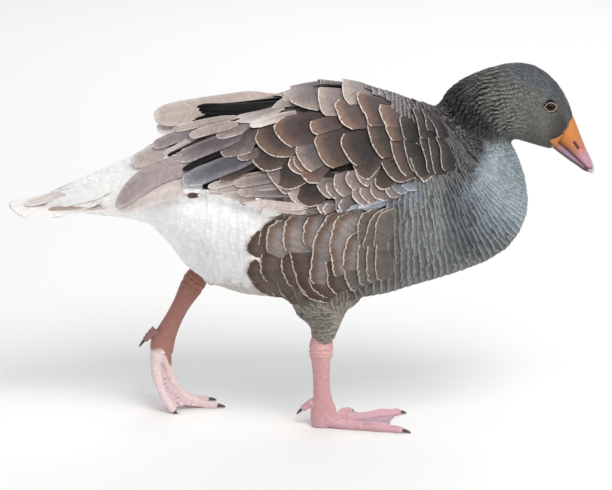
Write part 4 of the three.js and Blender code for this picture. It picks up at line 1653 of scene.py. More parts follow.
RUMP_BLADES: tuple[Blade, ...] = (
    # The black strips are painted shade: dark sheets laid where shade falls between the rump feathers.
    Blade("gap_low", (222, 137, -50), (167, 156, -46), 6, T.BLACK, fringe=0.2),
    Blade("slim_pale", (204, 132, -40), (160, 158, -42), 7, T.CREAM),
    Blade("gap_middle", (208, 134, -40), (154, 151, -34), 6, T.BLACK, fringe=0.2),
    Blade("rump_long", (210, 125, -38), (152.5, 146, -36), 14, T.LILAC),
    Blade("gap_top", (240, 120, -38), (172, 134, -31), 9, T.BLACK, fringe=0.2),
    Blade("rump_pale", (238, 123, -50), (189, 136, -46), 11, T.PALE),
    Blade("rump_top", (236, 117, -42), (172, 130, -35), 9, T.PALE),
)
PRIMARIES: tuple[Blade, ...] = (
    Blade("first", (306, 105, -22), (191, 122, -4), 10, T.BLACK, (0, -0.8, 0.6), 2, 0.3, 1),
    Blade("second", (304, 107, -20), (206, 118, -3), 18, T.BLACK, (0, -0.8, 0.6), 2, 0.3, 1),
    Blade("third", (300, 104, -16), (198, 110, 0), 15, T.BLACK, (0, -0.75, 0.65), 2, 0.3, -2),
    Blade("fourth", (296, 102, -12), (194, 106, 3), 11, T.BLACK, (0, -0.7, 0.7), 2, 0.3, -5),
)
FAR_TERTIALS: tuple[Blade, ...] = (
    Blade("far_low", (272, 110, 60), (156, 129, 47), 24, T.ROSE, (-0.1, -0.8, 0.6)),
    Blade("far_top", (280, 99, 64), (153, 117, 46), 32, T.SAND, (-0.1, -0.8, 0.6)),
)
TAIL_BLADE = Blade("tail_feather", (0, 0, 0), (0, 0, 0), 25, T.TAIL, sag=2.0, fringe=5.0)


@dataclass
class FlightFeathers(Plumage):
    """The long feathers that stand free of the body: tertials, folded primaries and tail."""

    thickness: float = 0.5 * MM
    tail_feathers: int = 14
    tail_root: Spot = (-200, 22, 268)
    tail_tip: Spot = (-334, 44, 254)

    def shape_blades(self, coat: Coat, blades: Sequence[Blade], shape: VaneShape, side: Side) -> None:
        """Shapes long feathers and adds them to a piece.

        Args:
            coat: the piece.
            blades: the feathers, placed on the bird's right.
            shape: their outline.
            side: the side that they are built on.
        """
        flip = np.array([1.0, -side.value, 1.0])
        for blade in blades:
            root, tip = self.lens.spot(*blade.root) * flip, self.lens.spot(*blade.tip) * flip
            self.shape_one(coat, root, tip, blade.facing * flip, shape, blade, -blade.bend * side.value)

    def shape_one(
        self, coat: Coat, root: Array, tip: Array, facing: Array, shape: VaneShape, blade: Blade, bend: float,
    ) -> None:
        """Shapes one long feather and adds it to a piece.

        Args:
            coat: the piece.
            root: where it starts.
            tip: where it ends.
            facing: the way its upper face looks.
            shape: its outline.
            blade: its width, tone, sag and fringe.
            bend: its bend on this side.
        """
        across, along, faces = shape.template()
        span = tip - root
        length = float(norm(span))
        way = span / length
        LOG.debug("%s: %.0f mm long", blade.name, length / MM)
        side = unit(np.cross(way, unit(facing)))
        lift = np.cross(side, way)
        levels, column = np.unique(across.round(4), return_inverse=True)
        fray = self.rng.random(len(levels))[column] * shape.ragged
        half, reach = shape.spread(across, along)
        share = along * (reach * (1 - fray * along**3))
        width = blade.width * MM
        sideways = across * half * width / 2
        shifted = sideways + bend * MM * np.sin(share * math.pi)
        height = blade.sag * MM * 4 * share * (1 - share)
        height = height - shape.crown * np.abs(across) ** 1.6 * half * width / 2
        points = root + way * (share * length)[:, None] + side * shifted[:, None] + lift * height[:, None]
        edge = np.minimum((1 - np.abs(across)) * half * width / 2, (reach * (1 - fray) - share) * length)
        tones = np.array(blade.tone.colours)
        tones[:, :3] *= 1 + self.rng.normal(0, 0.03)
        vanes = Vanes(
            root[None], way[None], np.array([length]), np.array([width]), *np.zeros((3, 1)),
            root_tone=tones[:1], tip_tone=tones[1:2], fringe_tone=tones[2:],
            fringe_width=np.array([blade.fringe * MM]),
        )
        coat.add(points[None], faces, vanes, shape, (share[None], edge[None], edge[None], sideways[None]))

    def tail(self) -> Iterator[tuple[Array, Array, float]]:
        """Fans the tail feathers, the outer pairs lowest.

        Yields:
            Each feather's root and tip in millimetres, and its share of the fan, -1 to 1.
        """
        shares = sorted(np.linspace(-1, 1, self.tail_feathers), key=lambda s: -abs(s))
        for number, s in enumerate(shares):
            level = number * 0.28
            x, y, z = self.tail_root
            root = (x, y * s, z + level - 5 * s * s)
            x, y, z = self.tail_tip
            tip = (x + 17 * s * s, y * s, z + level * 0.5 - 2 * s * s)
            yield np.array(root), np.array(tip), s

    def build(self, material: Material) -> None:
        """Builds every group of long feathers.

        Args:
            material: the plumage's finish.
        """
        tail = VaneShape(12, 10, stem=0.5, widest=0.3, shoulder=0.8, blunt=2.2, crown=0.16, ramp=(0.2, 0.75))
        broad = replace(tail, rows=14, columns=9, crown=0.12, ragged=0.012, ramp=VaneShape.ramp, rim=(2, 8))
        pointed = replace(broad, stem=0.55, widest=0.25, shoulder=0.66, blunt=1.8, ragged=0.01)
        slim = VaneShape(14, 7, stem=0.6, widest=0.3, shoulder=0.84, blunt=1.8, crown=0.16, ragged=0.05)
        for side in Side:
            right = side is Side.RIGHT
            rump = (*COVERTS, *RUMP_BLADES) if right else COVERTS[:1]
            for kind, blades, shape, slot in (
                ("tertials", TERTIALS, pointed, "long_wing_feathers"),
                ("primaries", PRIMARIES, slim, "flight_feathers"),
                ("rump_feathers", rump, broad, "long_wing_feathers"),
            ):
                name = f"{kind}_{side.label}"
                coat = self.piece(name + "_vanes")
                self.shape_blades(coat, blades, shape, side)
                if kind == "tertials":
                    self.shape_blades(coat, (REAR_TERTIAL,) if right else FAR_TERTIALS, broad, Side.RIGHT)
                replaced = () if kind == "rump_feathers" else (name,)
                add_wall(coat.build(material, slot, *replaced), self.thickness)
        coat = self.piece("tail_vanes")
        for root, tip, share in self.tail():
            facing = np.array([0, 0.25 * share, 1])
            self.shape_one(coat, root * MM, tip * MM, facing, tail, TAIL_BLADE, 0.0)
        for side in Side:
            self.shape_blades(coat, TAIL_STRIPES[side is Side.LEFT :], broad, side)
        add_wall(coat.build(material, "tail_feathers", "tail"), self.thickness)


# ---- bill and eyes


def section_rings(table: Sequence[Sequence[float]], count: int, sides: int) -> Array:
    """Turns section measures to smooth rings across the middle plane.

    Args:
        table: each section's top X, Z, bottom X, Z, half width and pear share, in millimetres.
        count: the number of rings.
        sides: the number of points on each ring.

    Returns:
        Rings, as ring, point, and X, Y, Z in metres.
    """
    data = catmull(table, np.linspace(0, 1, count)) * (MM, MM, MM, MM, MM, 1)
    turn = np.linspace(0, math.tau, sides, endpoint=False)
    top, bottom = (np.insert(data[:, k : k + 2], 1, 0, axis=1) for k in (0, 2))
    middle, half = (top + bottom) / 2, (top - bottom) / 2
    rings = middle[:, None] + half[:, None] * np.cos(turn)[None, :, None]
    rings[..., 1] += np.sin(turn) * data[:, 4:5] * (1 - data[:, 5:6] * np.cos(turn))
    return rings


@dataclass
class Bill:
    """The bill: upper part with nostrils, its nail, and the lower part."""

    form: Form
    lens: Lens
    upper: Table = (
        (303, 368, 279, 339, 16.2, 0.10), (306, 366, 281, 338.4, 15.8, 0.10),
        (312.3, 356.5, 288.5, 334, 15.6, 0.12), (317.8, 343, 296, 327, 14.6, 0.14),
        (322.8, 330.5, 305, 319.8, 13.2, 0.16), (327.8, 318.4, 313, 312.6, 12.1, 0.16),
        (332.6, 308, 320.5, 305.4, 10.8, 0.14), (335.2, 301.5, 326.5, 299.4, 8.6, 0.08),
        (335.8, 297.5, 331, 295.4, 5.0, 0.0), (335.6, 295.6, 333.4, 294.2, 1.5, 0.0),
    )
    nail: Table = (
        (329.0, 316.4, 321.5, 306, 3.2, 0.0), (331.6, 311.2, 324.0, 302, 6.0, 0.0),
        (334.6, 305.2, 327.5, 297, 7.0, 0.0), (336.4, 300.2, 330.0, 293.6, 6.0, 0.0),
        (336.8, 295.8, 332.4, 291.8, 4.0, 0.0), (336.2, 292.8, 334.2, 291.4, 1.4, 0.0),
    )
    lower: Table = (
        (281, 341, 280, 327, 12.6, 0), (290, 336.5, 287.2, 322.8, 12.8, 0),
        (299, 328, 296.5, 315.4, 12.6, 0), (309, 319.2, 307.2, 307.4, 11.2, 0),
        (317.5, 311.4, 316.2, 301.2, 9.6, 0), (325.4, 303.8, 323.6, 295.6, 7.6, 0),
        (330.0, 298.6, 328.6, 293.4, 4.6, 0), (331.8, 296.8, 331.0, 293.6, 1.4, 0),
    )
    nostril: Pairs = ((312.6, 330.6), (317.4, 323.6))
    corner_top: Pairs = ((549, 140), (554, 138.3), (558.5, 136.5), (562, 133.5), (565, 129))
    corner_low: Pairs = ((549.5, 141), (551.5, 145.5), (555, 149.5), (559.5, 153), (563, 156))
    corner_gape: Pairs = ((549, 140.5), (552, 144), (558, 148), (566, 152.3))
    nostril_depth: float = 1.5 * MM
    nostril_half: float = 1.7 * MM
    corner_steps: tuple[int, int] = (33, 25)
    corner_wall: float = 1.4 * MM

    def nostril_share(self, points: Array) -> Array:
        """Gives how deep in a nostril each place lies, 0 outside and 1 in its middle.

        Args:
            points: places on the upper bill.

        Returns:
            The depths.
        """
        start, end = np.array(self.nostril) * MM
        flat = points[:, [0, 2]]
        along = np.clip(((flat - start) @ (end - start)) / ((end - start) @ (end - start)), 0, 1)
        gap = norm(flat - start - along[:, None] * (end - start), axis=1)
        return np.exp(-((gap / self.nostril_half) ** 2)) * (np.abs(points[:, 1]) > 5 * MM)

    def build(self, horn: Material) -> None:
        """Builds every piece of the bill.

        Args:
            horn: the bill's finish.
        """
        upper = loft(section_rings(self.upper, 72, 72), "upper_bill")
        points, normals = mesh_arrays(upper)
        dent = self.nostril_share(points)
        brim = np.exp(-(((dent - 0.35) / 0.2) ** 2)) * (dent > 0.02)
        rough = np.sin(points[:, 0] * 900 + points[:, 2] * 500) * np.sin(points[:, 2] * 1300) * 0.05 * MM
        set_points(upper, points + normals * (brim * 0.3 * MM - dent * self.nostril_depth + rough)[:, None])
        store(upper, "Tone", self.tones(points, dent))
        add_piece("upper_bill", upper, horn, "bill_horn", "bill_upper")
        lower = loft(section_rings(self.lower, 40, 56), "lower_bill")
        store(lower, "Tone", self.low_tones(mesh_arrays(lower)[0]))
        add_piece("lower_bill", lower, horn, "bill_horn", "bill_lower")
        nail = loft(section_rings(self.nail, 30, 40), "nail")
        points, _ = mesh_arrays(nail)
        tip = rise(300 * MM, 292 * MM, points[:, 2])
        store(nail, "Tone", blend(plain_tone("b8a5b1", len(points)), (("cbbfc8", tip),)))
        add_piece("nail", nail, horn, "nail_horn", "bill_nail")
        self.corner(horn)

    def tones(self, points: Array, dent: Array) -> Array:
        """Colours the upper bill: orange, mauve towards tip and edges, with painted shade in the nostrils,
        along the gape and under the feathers' border.

        Args:
            points: places on it.
            dent: how deep in a nostril each lies.

        Returns:
            Linear colours.
        """
        x, y, z = (points / MM).T
        along = (x - 306) * 0.42 + (366 - z) * 0.91
        border = np.interp(z, *zip(*Chart.bill_border))
        gape = np.interp(x, (288, 296, 305, 313, 320.5, 327), (334, 327, 319.8, 312.6, 305.4, 299))
        return blend(plain_tone("b8702f", len(points)), (
            ("c07527", rise(6, 16, z - gape) * rise(45, 15, along) * (np.abs(y) > 6)),
            ("ad7a62", rise(9, 3, np.abs(y)) * rise(16, 34, along)),
            ("b06b45", rise(0.3, 0.8, np.sin(x * 0.9 + z * 0.37) * np.sin(z * 0.6 - x * 0.2)) * 0.4),
            ("b06f5a", rise(32, 46, along) * 0.8),
            ("b38594", rise(44, 56, along)),
            ("a9786a", rise(5.0, 1.0, z - gape) * 0.7),
            # Painted shade along the gape, the dark crack between the mandibles.
            ("6b4038", rise(1.8, 0.2, z - gape) * 0.8),
            # Dark red inside the nostrils, turning to near-black painted shade in their depth.
            ("c4553f", np.clip(dent * 3, 0, 0.5)),
            ("2e0d0a", np.clip(dent * 2.2 - 0.4, 0, 1)),
            # Painted shade where the bill runs back under the feathers' border.
            ("4b453f", rise(1.0, -0.8, x - border)),
        ))

    def low_tones(self, points: Array) -> Array:
        """Colours the lower bill: brown orange at the base, then lilac, dark along its lowest edge.

        Args:
            points: places on it.

        Returns:
            Linear colours.
        """
        x, _, z = (points / MM).T
        edge = ((280, 287, 296.5, 307, 316, 323.6, 330), (327, 323.6, 316.6, 308.8, 302.8, 297, 294.5))
        bottom = np.interp(x, *edge)
        return blend(plain_tone("a06c46", len(points)), (
            ("8a7080", rise(292, 302, x)),
            ("8f6c7e", rise(312, 322, x)),
            ("33262c", rise(4.6, 2.6, z - bottom) * rise(284, 292, x) * 0.9),
        ))

    def corner(self, horn: Material) -> None:
        """Covers the corner of the mouth, where bare skin runs back under the feathers' border.

        Args:
            horn: the bill's finish.
        """
        along, across = self.corner_steps
        work = bmesh.new()
        bmesh.ops.create_grid(work, x_segments=across - 1, y_segments=along - 1, size=1.0)
        grid = np.array([vert.co[:2] for vert in work.verts])
        column, row = np.rint((grid + 1) / 2 * (across - 1, along - 1)).astype(int).T
        lines = (self.corner_top, self.corner_low, self.corner_gape)
        top, low, gape = (catmull(line, np.linspace(0, 1, along)) for line in lines)
        down = np.linspace(0, 1, across)[column, None]
        flat = top[row] * (1 - down) + low[row] * down
        places, normals = self.form.cast(self.lens.place, self.lens.rays(flat))
        gap = line_gap(flat, gape)
        below = flat[:, 1] > gape[gap.argmin(1), 1]
        # Orange above the gape and browner below; painted shade along the gape line and along the top and
        # rear edges that run under the feathers.
        tone = blend(np.where(below[:, None], linear("94704f"), linear("b8702f")), (
            ("43291b", rise(1.1, 0.3, gap.min(1))),
            ("4b453f", rise(1.6, 0, np.minimum(column, row)) * 0.8),
        ))
        # The grid's faces look out as they are, and an open patch gives a recalculation no outside.
        for vert, place in zip(work.verts, places + normals * 0.7 * MM):
            vert.co = place
        work.normal_update()
        mesh = mesh_from(work, "mouth_corner")
        store(mesh, "Tone", tone)
        for side in Side:
            one = mesh.copy()
            one.name = f"mouth_corner_{side.label}"
            if side is Side.LEFT:
                one.transform(Matrix.Scale(-1, 4, (0, 1, 0)))
                one.flip_normals()
            add_wall(add_piece(one.name, one, horn, "bill_horn"), self.corner_wall)


@dataclass
class Eyes:
    """Both eyes: a dark brown iris round a black pupil, under a clear cornea, in a raised ring of lid."""

    centre: Spot = (283.8, 18.6, 373.0)
    axis: Spot = (0.13, 1.0, 0.16)
    radius: float = 7.9 * MM
    cornea: float = 0.5 * MM
    iris: float = 5.6 * MM
    ring_half: tuple[float, float] = (5.6 * MM, 4.75 * MM)
    ring_thick: float = 0.65 * MM

    def build(self, ball: Material, lid: Material) -> None:
        """Builds both eyes and their lids.

        Args:
            ball: the eyeball's finish.
            lid: the lids' finish.
        """
        for side in Side:
            flip = np.array([1.0, side.value, 1.0])
            centre = np.array(self.centre) * MM * flip
            way = Vector(np.array(self.axis) * flip).normalized()
            front = Vector((1, 0, 0))
            across = (front - front.dot(way) * way).normalized()
            turn = np.array(Matrix((across, way.cross(across), way)))
            name = f"eyeball_{side.label}"
            work = bmesh.new()
            bmesh.ops.create_uvsphere(work, u_segments=40, v_segments=32, radius=self.radius)
            mesh = mesh_from(work, name)
            points, _ = mesh_arrays(mesh)
            away = norm(points[:, :2], axis=1)
            ahead = points[:, 2] > 0
            store(mesh, "Radius", np.where(ahead, away / MM, 9.0), "FLOAT", "value")
            store(mesh, "Spin", points / MM, "FLOAT_VECTOR", "vector")
            points[:, 2] += self.cornea * np.clip(1 - (away / self.iris) ** 2, 0, 1) * ahead
            set_points(mesh, points @ turn + centre)
            add_piece(name, mesh, ball, "eye", f"eye_{side.label}")
            self.lid(f"lid_{side.label}", centre, turn, lid)

    def lid(self, name: str, centre: Array, turn: Array, material: Material) -> None:
        """Builds one ring of lid that hugs the eyeball.

        Args:
            name: the piece's name.
            centre: the eyeball's centre.
            turn: rows that turn +Z to the way the eye looks.
            material: the lid's finish.
        """
        work = bmesh.new()
        start = bmesh.ops.create_circle(work, segments=12, radius=self.ring_thick)["verts"]
        bmesh.ops.rotate(work, verts=start, cent=(0, 0, 0), matrix=Matrix.Rotation(math.pi / 2, 3, "X"))
        bmesh.ops.translate(work, verts=start, vec=(self.ring_half[0], 0, 0))
        bmesh.ops.spin(
            work, geom=work.verts[:] + work.edges[:], cent=(0, 0, 0), axis=(0, 0, 1), angle=math.tau,
            steps=56, use_merge=True,
        )
        bmesh.ops.recalc_face_normals(work, faces=work.faces)
        mesh = mesh_from(work, name)
        points, _ = mesh_arrays(mesh)
        turned = np.arctan2(points[:, 1], points[:, 0])
        away = norm(points[:, :2], axis=1)
        half = np.hypot(self.ring_half[0] * np.cos(turned), self.ring_half[1] * np.sin(turned))
        corner = 1.0 * MM * np.exp(-(((np.abs(np.cos(turned)) - 1) / 0.06) ** 2))
        reach = half + corner + (away - self.ring_half[0]) * (1 + 0.35 * (away > self.ring_half[0]))
        crown = np.sqrt(np.maximum(self.radius**2 - np.minimum(half, 0.95 * self.radius) ** 2, 0))
        crease = 0.12 * MM * np.sin(turned * 26)
        level = points[:, 2] * 0.9 + crown + crease * (points[:, 2] > 0)
        flat = np.stack([np.cos(turned) * reach, np.sin(turned) * reach, level], 1)
        set_points(mesh, flat @ turn + centre)
        add_piece(name, mesh, material, "eye")


# ---- legs and feet

Toes = dict[str, Table]

SHANK_RIGHT = (
    (24.8, -36, 112, 10.5, 9.0), (24.8, -36, 108, 11, 9.5), (24.4, -36, 98, 13.2, 11),
    (24.2, -36, 88, 13.4, 11), (24.2, -36, 76, 10.8, 8.6), (24.7, -35.7, 56, 9.6, 7.4),
    (25.6, -35.3, 36, 10.6, 7.8), (27, -35, 20, 14.5, 9.6), (27.5, -35, 9, 15.5, 10.5),
    (27.5, -35, 0.5, 14, 9.4),
)
SHANK_LEFT = (
    (-112, 36.5, 170, 11, 9.6), (-115, 36.5, 165, 11.5, 10), (-121, 36.3, 157, 13.4, 11),
    (-128, 36, 145, 13, 10.6), (-137.5, 36, 128, 10.4, 8.4), (-147, 36, 110, 10.2, 7.6),
    (-155, 36, 94, 12, 8.4), (-160, 36, 82, 13.8, 9.8), (-162, 36, 70, 13.6, 10.4),
)
TOES_RIGHT: Toes = {
    "inner": ((33, -31, 8, 7.5), (43, -8, 4.2, 5), (52, 10, 4, 5), (58, 21, 2.6, 3.4)),
    "middle": ((34, -33, 9, 9), (62, -18, 4.8, 5.6), (84, -6, 4.8, 5.8), (104, 6, 4, 5), (116, 13, 2.8, 3.6)),
    "outer": (
        (32, -38, 8, 8), (54, -45, 4.6, 5.4), (78, -51, 4.6, 5.6), (102, -57, 4, 5), (118, -61, 2.8, 3.6),
    ),
    "hind": ((16, -33, 28, 6), (9, -30, 24, 4.4), (3, -28, 19, 3.4)),
}
TOES_LEFT: Toes = {
    "inner": (
        (-167, 31, 70, 8.5), (-168, 25, 50, 5.8), (-162, 20, 28, 5.2), (-153, 18, 11, 4.8),
        (-147, 17, 2.8, 3.6),
    ),
    "middle": (
        (-159, 36, 68, 9), (-155, 38, 48, 6), (-146, 40, 27, 5.8), (-130, 41, 11, 5.4), (-112, 41, 4, 4.8),
        (-97, 41, 2.8, 3.6),
    ),
    "outer": (
        (-161, 41, 68, 8), (-160, 49, 48, 5.6), (-152, 57, 27, 5.4), (-138, 63, 11, 5.2),
        (-121, 66, 3.8, 4.6), (-108, 68, 2.8, 3.6),
    ),
    "hind": ((-168, 34, 97, 5.6), (-175, 32, 91, 4.4), (-181, 31, 85, 3.2)),
}


def tube(path: Array, half: Array, wide: Array, sides: int, name: str) -> Mesh:
    """Makes a closed rod of changing thickness along a path.

    Args:
        path: places on its middle line.
        half: half its thickness at each place, front to back or top to bottom.
        wide: half its width at each place, across.
        sides: the number of points round it.
        name: the mesh's name.

    Returns:
        The mesh.
    """
    along = unit(np.gradient(path, axis=0))
    front = unit(np.cross(np.array([0.0, 1.0, 0.0]), along))
    across = np.cross(along, front)
    turn = np.linspace(0, math.tau, sides, endpoint=False)
    fore = front[:, None] * (np.cos(turn)[None] * half[:, None])[..., None]
    out = across[:, None] * (np.sin(turn)[None] * wide[:, None])[..., None]
    return loft(path[:, None] + fore + out, name)


@dataclass(frozen=True)
class LegTones:
    """The colours of one leg: toes, web, upper shank, its middle and top, hind toe and spots."""

    toes: str = "d0a4ad"
    web: str = "a98c9c"
    upper: str = "c69696"
    middle: str = "d3a5a4"
    top: str = "c98f8b"
    hind: str = "d0a4ad"
    spots: str = "c79294"


@dataclass
class Leg:
    """A bare leg: shank, ankle, toes and web in one skin, with its claws.

    A knot of the shank is X, Y, Z and its half thickness and half width, a knot of a toe X, Y, Z and
    its half thickness, all in millimetres and from the top or the ankle outwards.
    """

    side: Side
    shank: Table
    toes: Toes
    colours: LegTones = LegTones()
    voxel: float = 0.95 * MM
    web_end: float = 0.93
    web_notch: float = 0.17
    web_thick: float = 2.0 * MM
    claw_length: float = 10.0 * MM

    def toe_curve(self, toe: str, count: int) -> tuple[Array, Array]:
        """Gives a toe's middle line and half thickness at even shares."""
        data = catmull(self.toes[toe], np.linspace(0, 1, count)) * MM
        return data[:, :3], data[:, 3]

    def web(self, one: str, two: str) -> Mesh:
        """Makes the web between two toes, hollowed at its free edge and lightly pleated.

        Args:
            one: the inner toe's name.
            two: the outer toe's name.

        Returns:
            The web as a closed mesh.
        """
        work = bmesh.new()
        bmesh.ops.create_grid(work, x_segments=20, y_segments=30, size=1.0)
        flat = np.array([vert.co[:2] for vert in work.verts])
        u, s = (flat[:, 0] + 1) / 2, (flat[:, 1] + 1) / 2
        reach = s * (self.web_end - self.web_notch * 4 * u * (1 - u))
        steps = np.linspace(0, 1, 64)
        lines = (self.toe_curve(toe, 64)[0].T for toe in (one, two))
        first, second = (np.stack([np.interp(reach, steps, part) for part in line], 1) for line in lines)
        places = first * (1 - u)[:, None] + second * u[:, None]
        slack = 4 * u * (1 - u) * s
        places[:, 2] += slack * (np.sin(u * 19 + s * 4) * 0.7 - 0.9) * MM
        places[:, 2] = np.maximum(places[:, 2], 1.1 * MM)
        for vert, place in zip(work.verts, places):
            vert.co = place
        bmesh.ops.recalc_face_normals(work, faces=work.faces)
        bmesh.ops.solidify(work, geom=work.faces[:] + work.edges[:] + work.verts[:], thickness=self.web_thick)
        bmesh.ops.recalc_face_normals(work, faces=work.faces)
        return mesh_from(work, "web")

    def build(self, skin: Material, horn: Material) -> None:
        """Builds the leg and its claws.

        Args:
            skin: the leg's finish.
            horn: the claws' finish.
        """
        data = catmull(self.shank, np.linspace(0, 1, 60)) * MM
        parts = [tube(data[:, :3], data[:, 3], data[:, 4], 36, "shank")]
        for toe in self.toes:
            path, half = self.toe_curve(toe, 40)
            share = np.linspace(0, 1, 40)
            pads = 1 + 0.10 * np.cos(share * math.tau * 3.2) * rise(0.1, 0.3, share)
            parts.append(tube(path, half * pads, half * pads * 1.06, 20, toe))
        parts += [self.web("inner", "middle"), self.web("middle", "outer")]
        work = bmesh.new()
        for part in parts:
            work.from_mesh(part)
            bpy.data.meshes.remove(part)
        label = self.side.label
        mesh = voxel_mesh(mesh_from(work, "leg_parts"), self.voxel, f"leg_{label}")
        relax(mesh, 3)
        self.wrinkle(mesh)
        store(mesh, "Tone", self.tones(self.on_floor(mesh)))
        add_piece(f"leg_{label}", mesh, skin, "leg_skin", f"shank_{label}", f"foot_{label}")
        for toe in self.toes:
            self.claw(toe, horn)

    def on_floor(self, mesh: Mesh) -> Array:
        """Lifts what would sink into the floor, and gives the mesh's places.

        Args:
            mesh: the mesh.

        Returns:
            Its places after that.
        """
        points, _ = mesh_arrays(mesh)
        points[:, 2] = np.maximum(points[:, 2], 0.0)
        set_points(mesh, points)
        return points

    def shank_place(self, points: Array) -> tuple[Array, Array]:
        """Gives each place's share down the shank and its distance from the shank's middle line.

        Args:
            points: places on the leg.

        Returns:
            The shares and the distances.
        """
        gaps = line_gap(points, catmull(self.shank, np.linspace(0, 1, 120))[:, :3] * MM)
        return gaps.argmin(1) / 119, gaps.min(1)

    def wrinkle(self, mesh: Mesh) -> None:
        """Presses scutes, ankle folds and joint creases into the skin.

        Args:
            mesh: the leg's mesh.
        """
        points, normals = mesh_arrays(mesh)
        share, gap = self.shank_place(points)
        on_shank = rise(19 * MM, 13 * MM, gap)
        run = share * len(self.shank) * 11.0
        wave = run + 0.9 * np.sin(points[:, 1] / MM * 0.5) + 0.5 * np.sin(points[:, 0] / MM * 0.6)
        scutes = np.abs(np.sin(wave / 4.2 * math.pi)) ** 0.5 - 0.8
        fold = np.sin(wave * 1.15 + 1.2 * np.sin(wave * 0.31)) * rise(0.42, 0.30, share)
        height = on_shank * (scutes * 0.22 + fold * 0.55) * MM
        for toe in self.toes:
            line, _ = self.toe_curve(toe, 80)
            gaps = line_gap(points, line)
            reach = norm(np.diff(line, axis=0), axis=1).sum() / MM
            plates = np.abs(np.sin(gaps.argmin(1) / 79 * reach / 3.4 * math.pi)) ** 0.5 - 0.8
            top = rise(-0.2, 0.4, normals[:, 2])
            height = height + plates * 0.26 * MM * rise(8.5 * MM, 6 * MM, gaps.min(1)) * top
        x, y, z = points.T
        grain = np.sin(x * 1700) * np.sin(y * 1500 + 1) * np.sin(z * 1600 + 2)
        set_points(mesh, points + normals * (height + grain * 0.10 * MM)[:, None])

    def tones(self, points: Array) -> Array:
        """Colours the leg: pink, browner at the hock, mauve on the web, with darker spots.

        Args:
            points: places on the leg.

        Returns:
            Linear colours.
        """
        share, gap = self.shank_place(points)
        x, y, z = (points / MM).T
        near = self.side is Side.RIGHT
        toe_gap = np.full(len(points), 99.0)
        for toe in self.toes:
            line, half = self.toe_curve(toe, 60)
            toe_gap = np.minimum(toe_gap, (line_gap(points, line) - half[None]).min(1) / MM)
        web = rise(0.8, 3.0, toe_gap) * rise(14, 22, gap / MM)
        shank = rise(20, 12, gap / MM)
        hind = line_gap(points, self.toe_curve("hind", 30)[0]).min(1) / MM
        rim = 74.5 - 22 * rise(-159, -151, x) + 1.2 * np.sin(x * 0.45)
        upper = shank * rise(1.0, 0.75, share) if near else rise(-2, 2, z - rim)
        grain = 0.21 if near else 0.8
        across, down = x + 3.1 * np.sin(z * 0.31 + y * 0.17), z + 2.7 * np.sin(x * 0.27 - y * 0.23)
        blotch = np.sin(across * grain + 1) * np.sin(down * grain * 0.9 + 2)
        spots = rise(0.15, 0.6, blotch) * 0.5 if near else rise(0.6, 0.85, blotch) * 0.7 * web
        return blend(plain_tone(self.colours.toes, len(points)), (
            (self.colours.web, web),
            (self.colours.upper, upper),
            (self.colours.middle, shank * rise(0.5, 0.3, share)),
            (self.colours.top, shank * rise(0.2, 0.05, share)),
            (self.colours.hind, rise(9, 6, hind)),
            (self.colours.spots, spots),
        ))

    def claw(self, toe: str, horn: Material) -> None:
        """Builds one curved claw at the end of a toe.

        Args:
            toe: the toe's name.
            horn: the claws' finish.
        """
        path, half = self.toe_curve(toe, 40)
        end, way = path[-1], unit(path[-1] - path[-4])
        steps = np.linspace(0, 1, 14)
        line = end + way * ((steps - 0.18) * self.claw_length * 1.18)[:, None]
        line[:, 2] += (1.4 * steps - 3.0 * steps**2) * MM
        taper = half[-1] * np.sqrt(np.clip(1 - steps**1.7, 0.004, 1))
        name = f"claw_{self.side.label}_{toe}"
        mesh = tube(line, taper * 0.62, taper * 0.72, 18, name + "_horn")
        self.on_floor(mesh)
        add_piece(mesh.name, mesh, horn, "claw_horn", name)


# ---- finishes


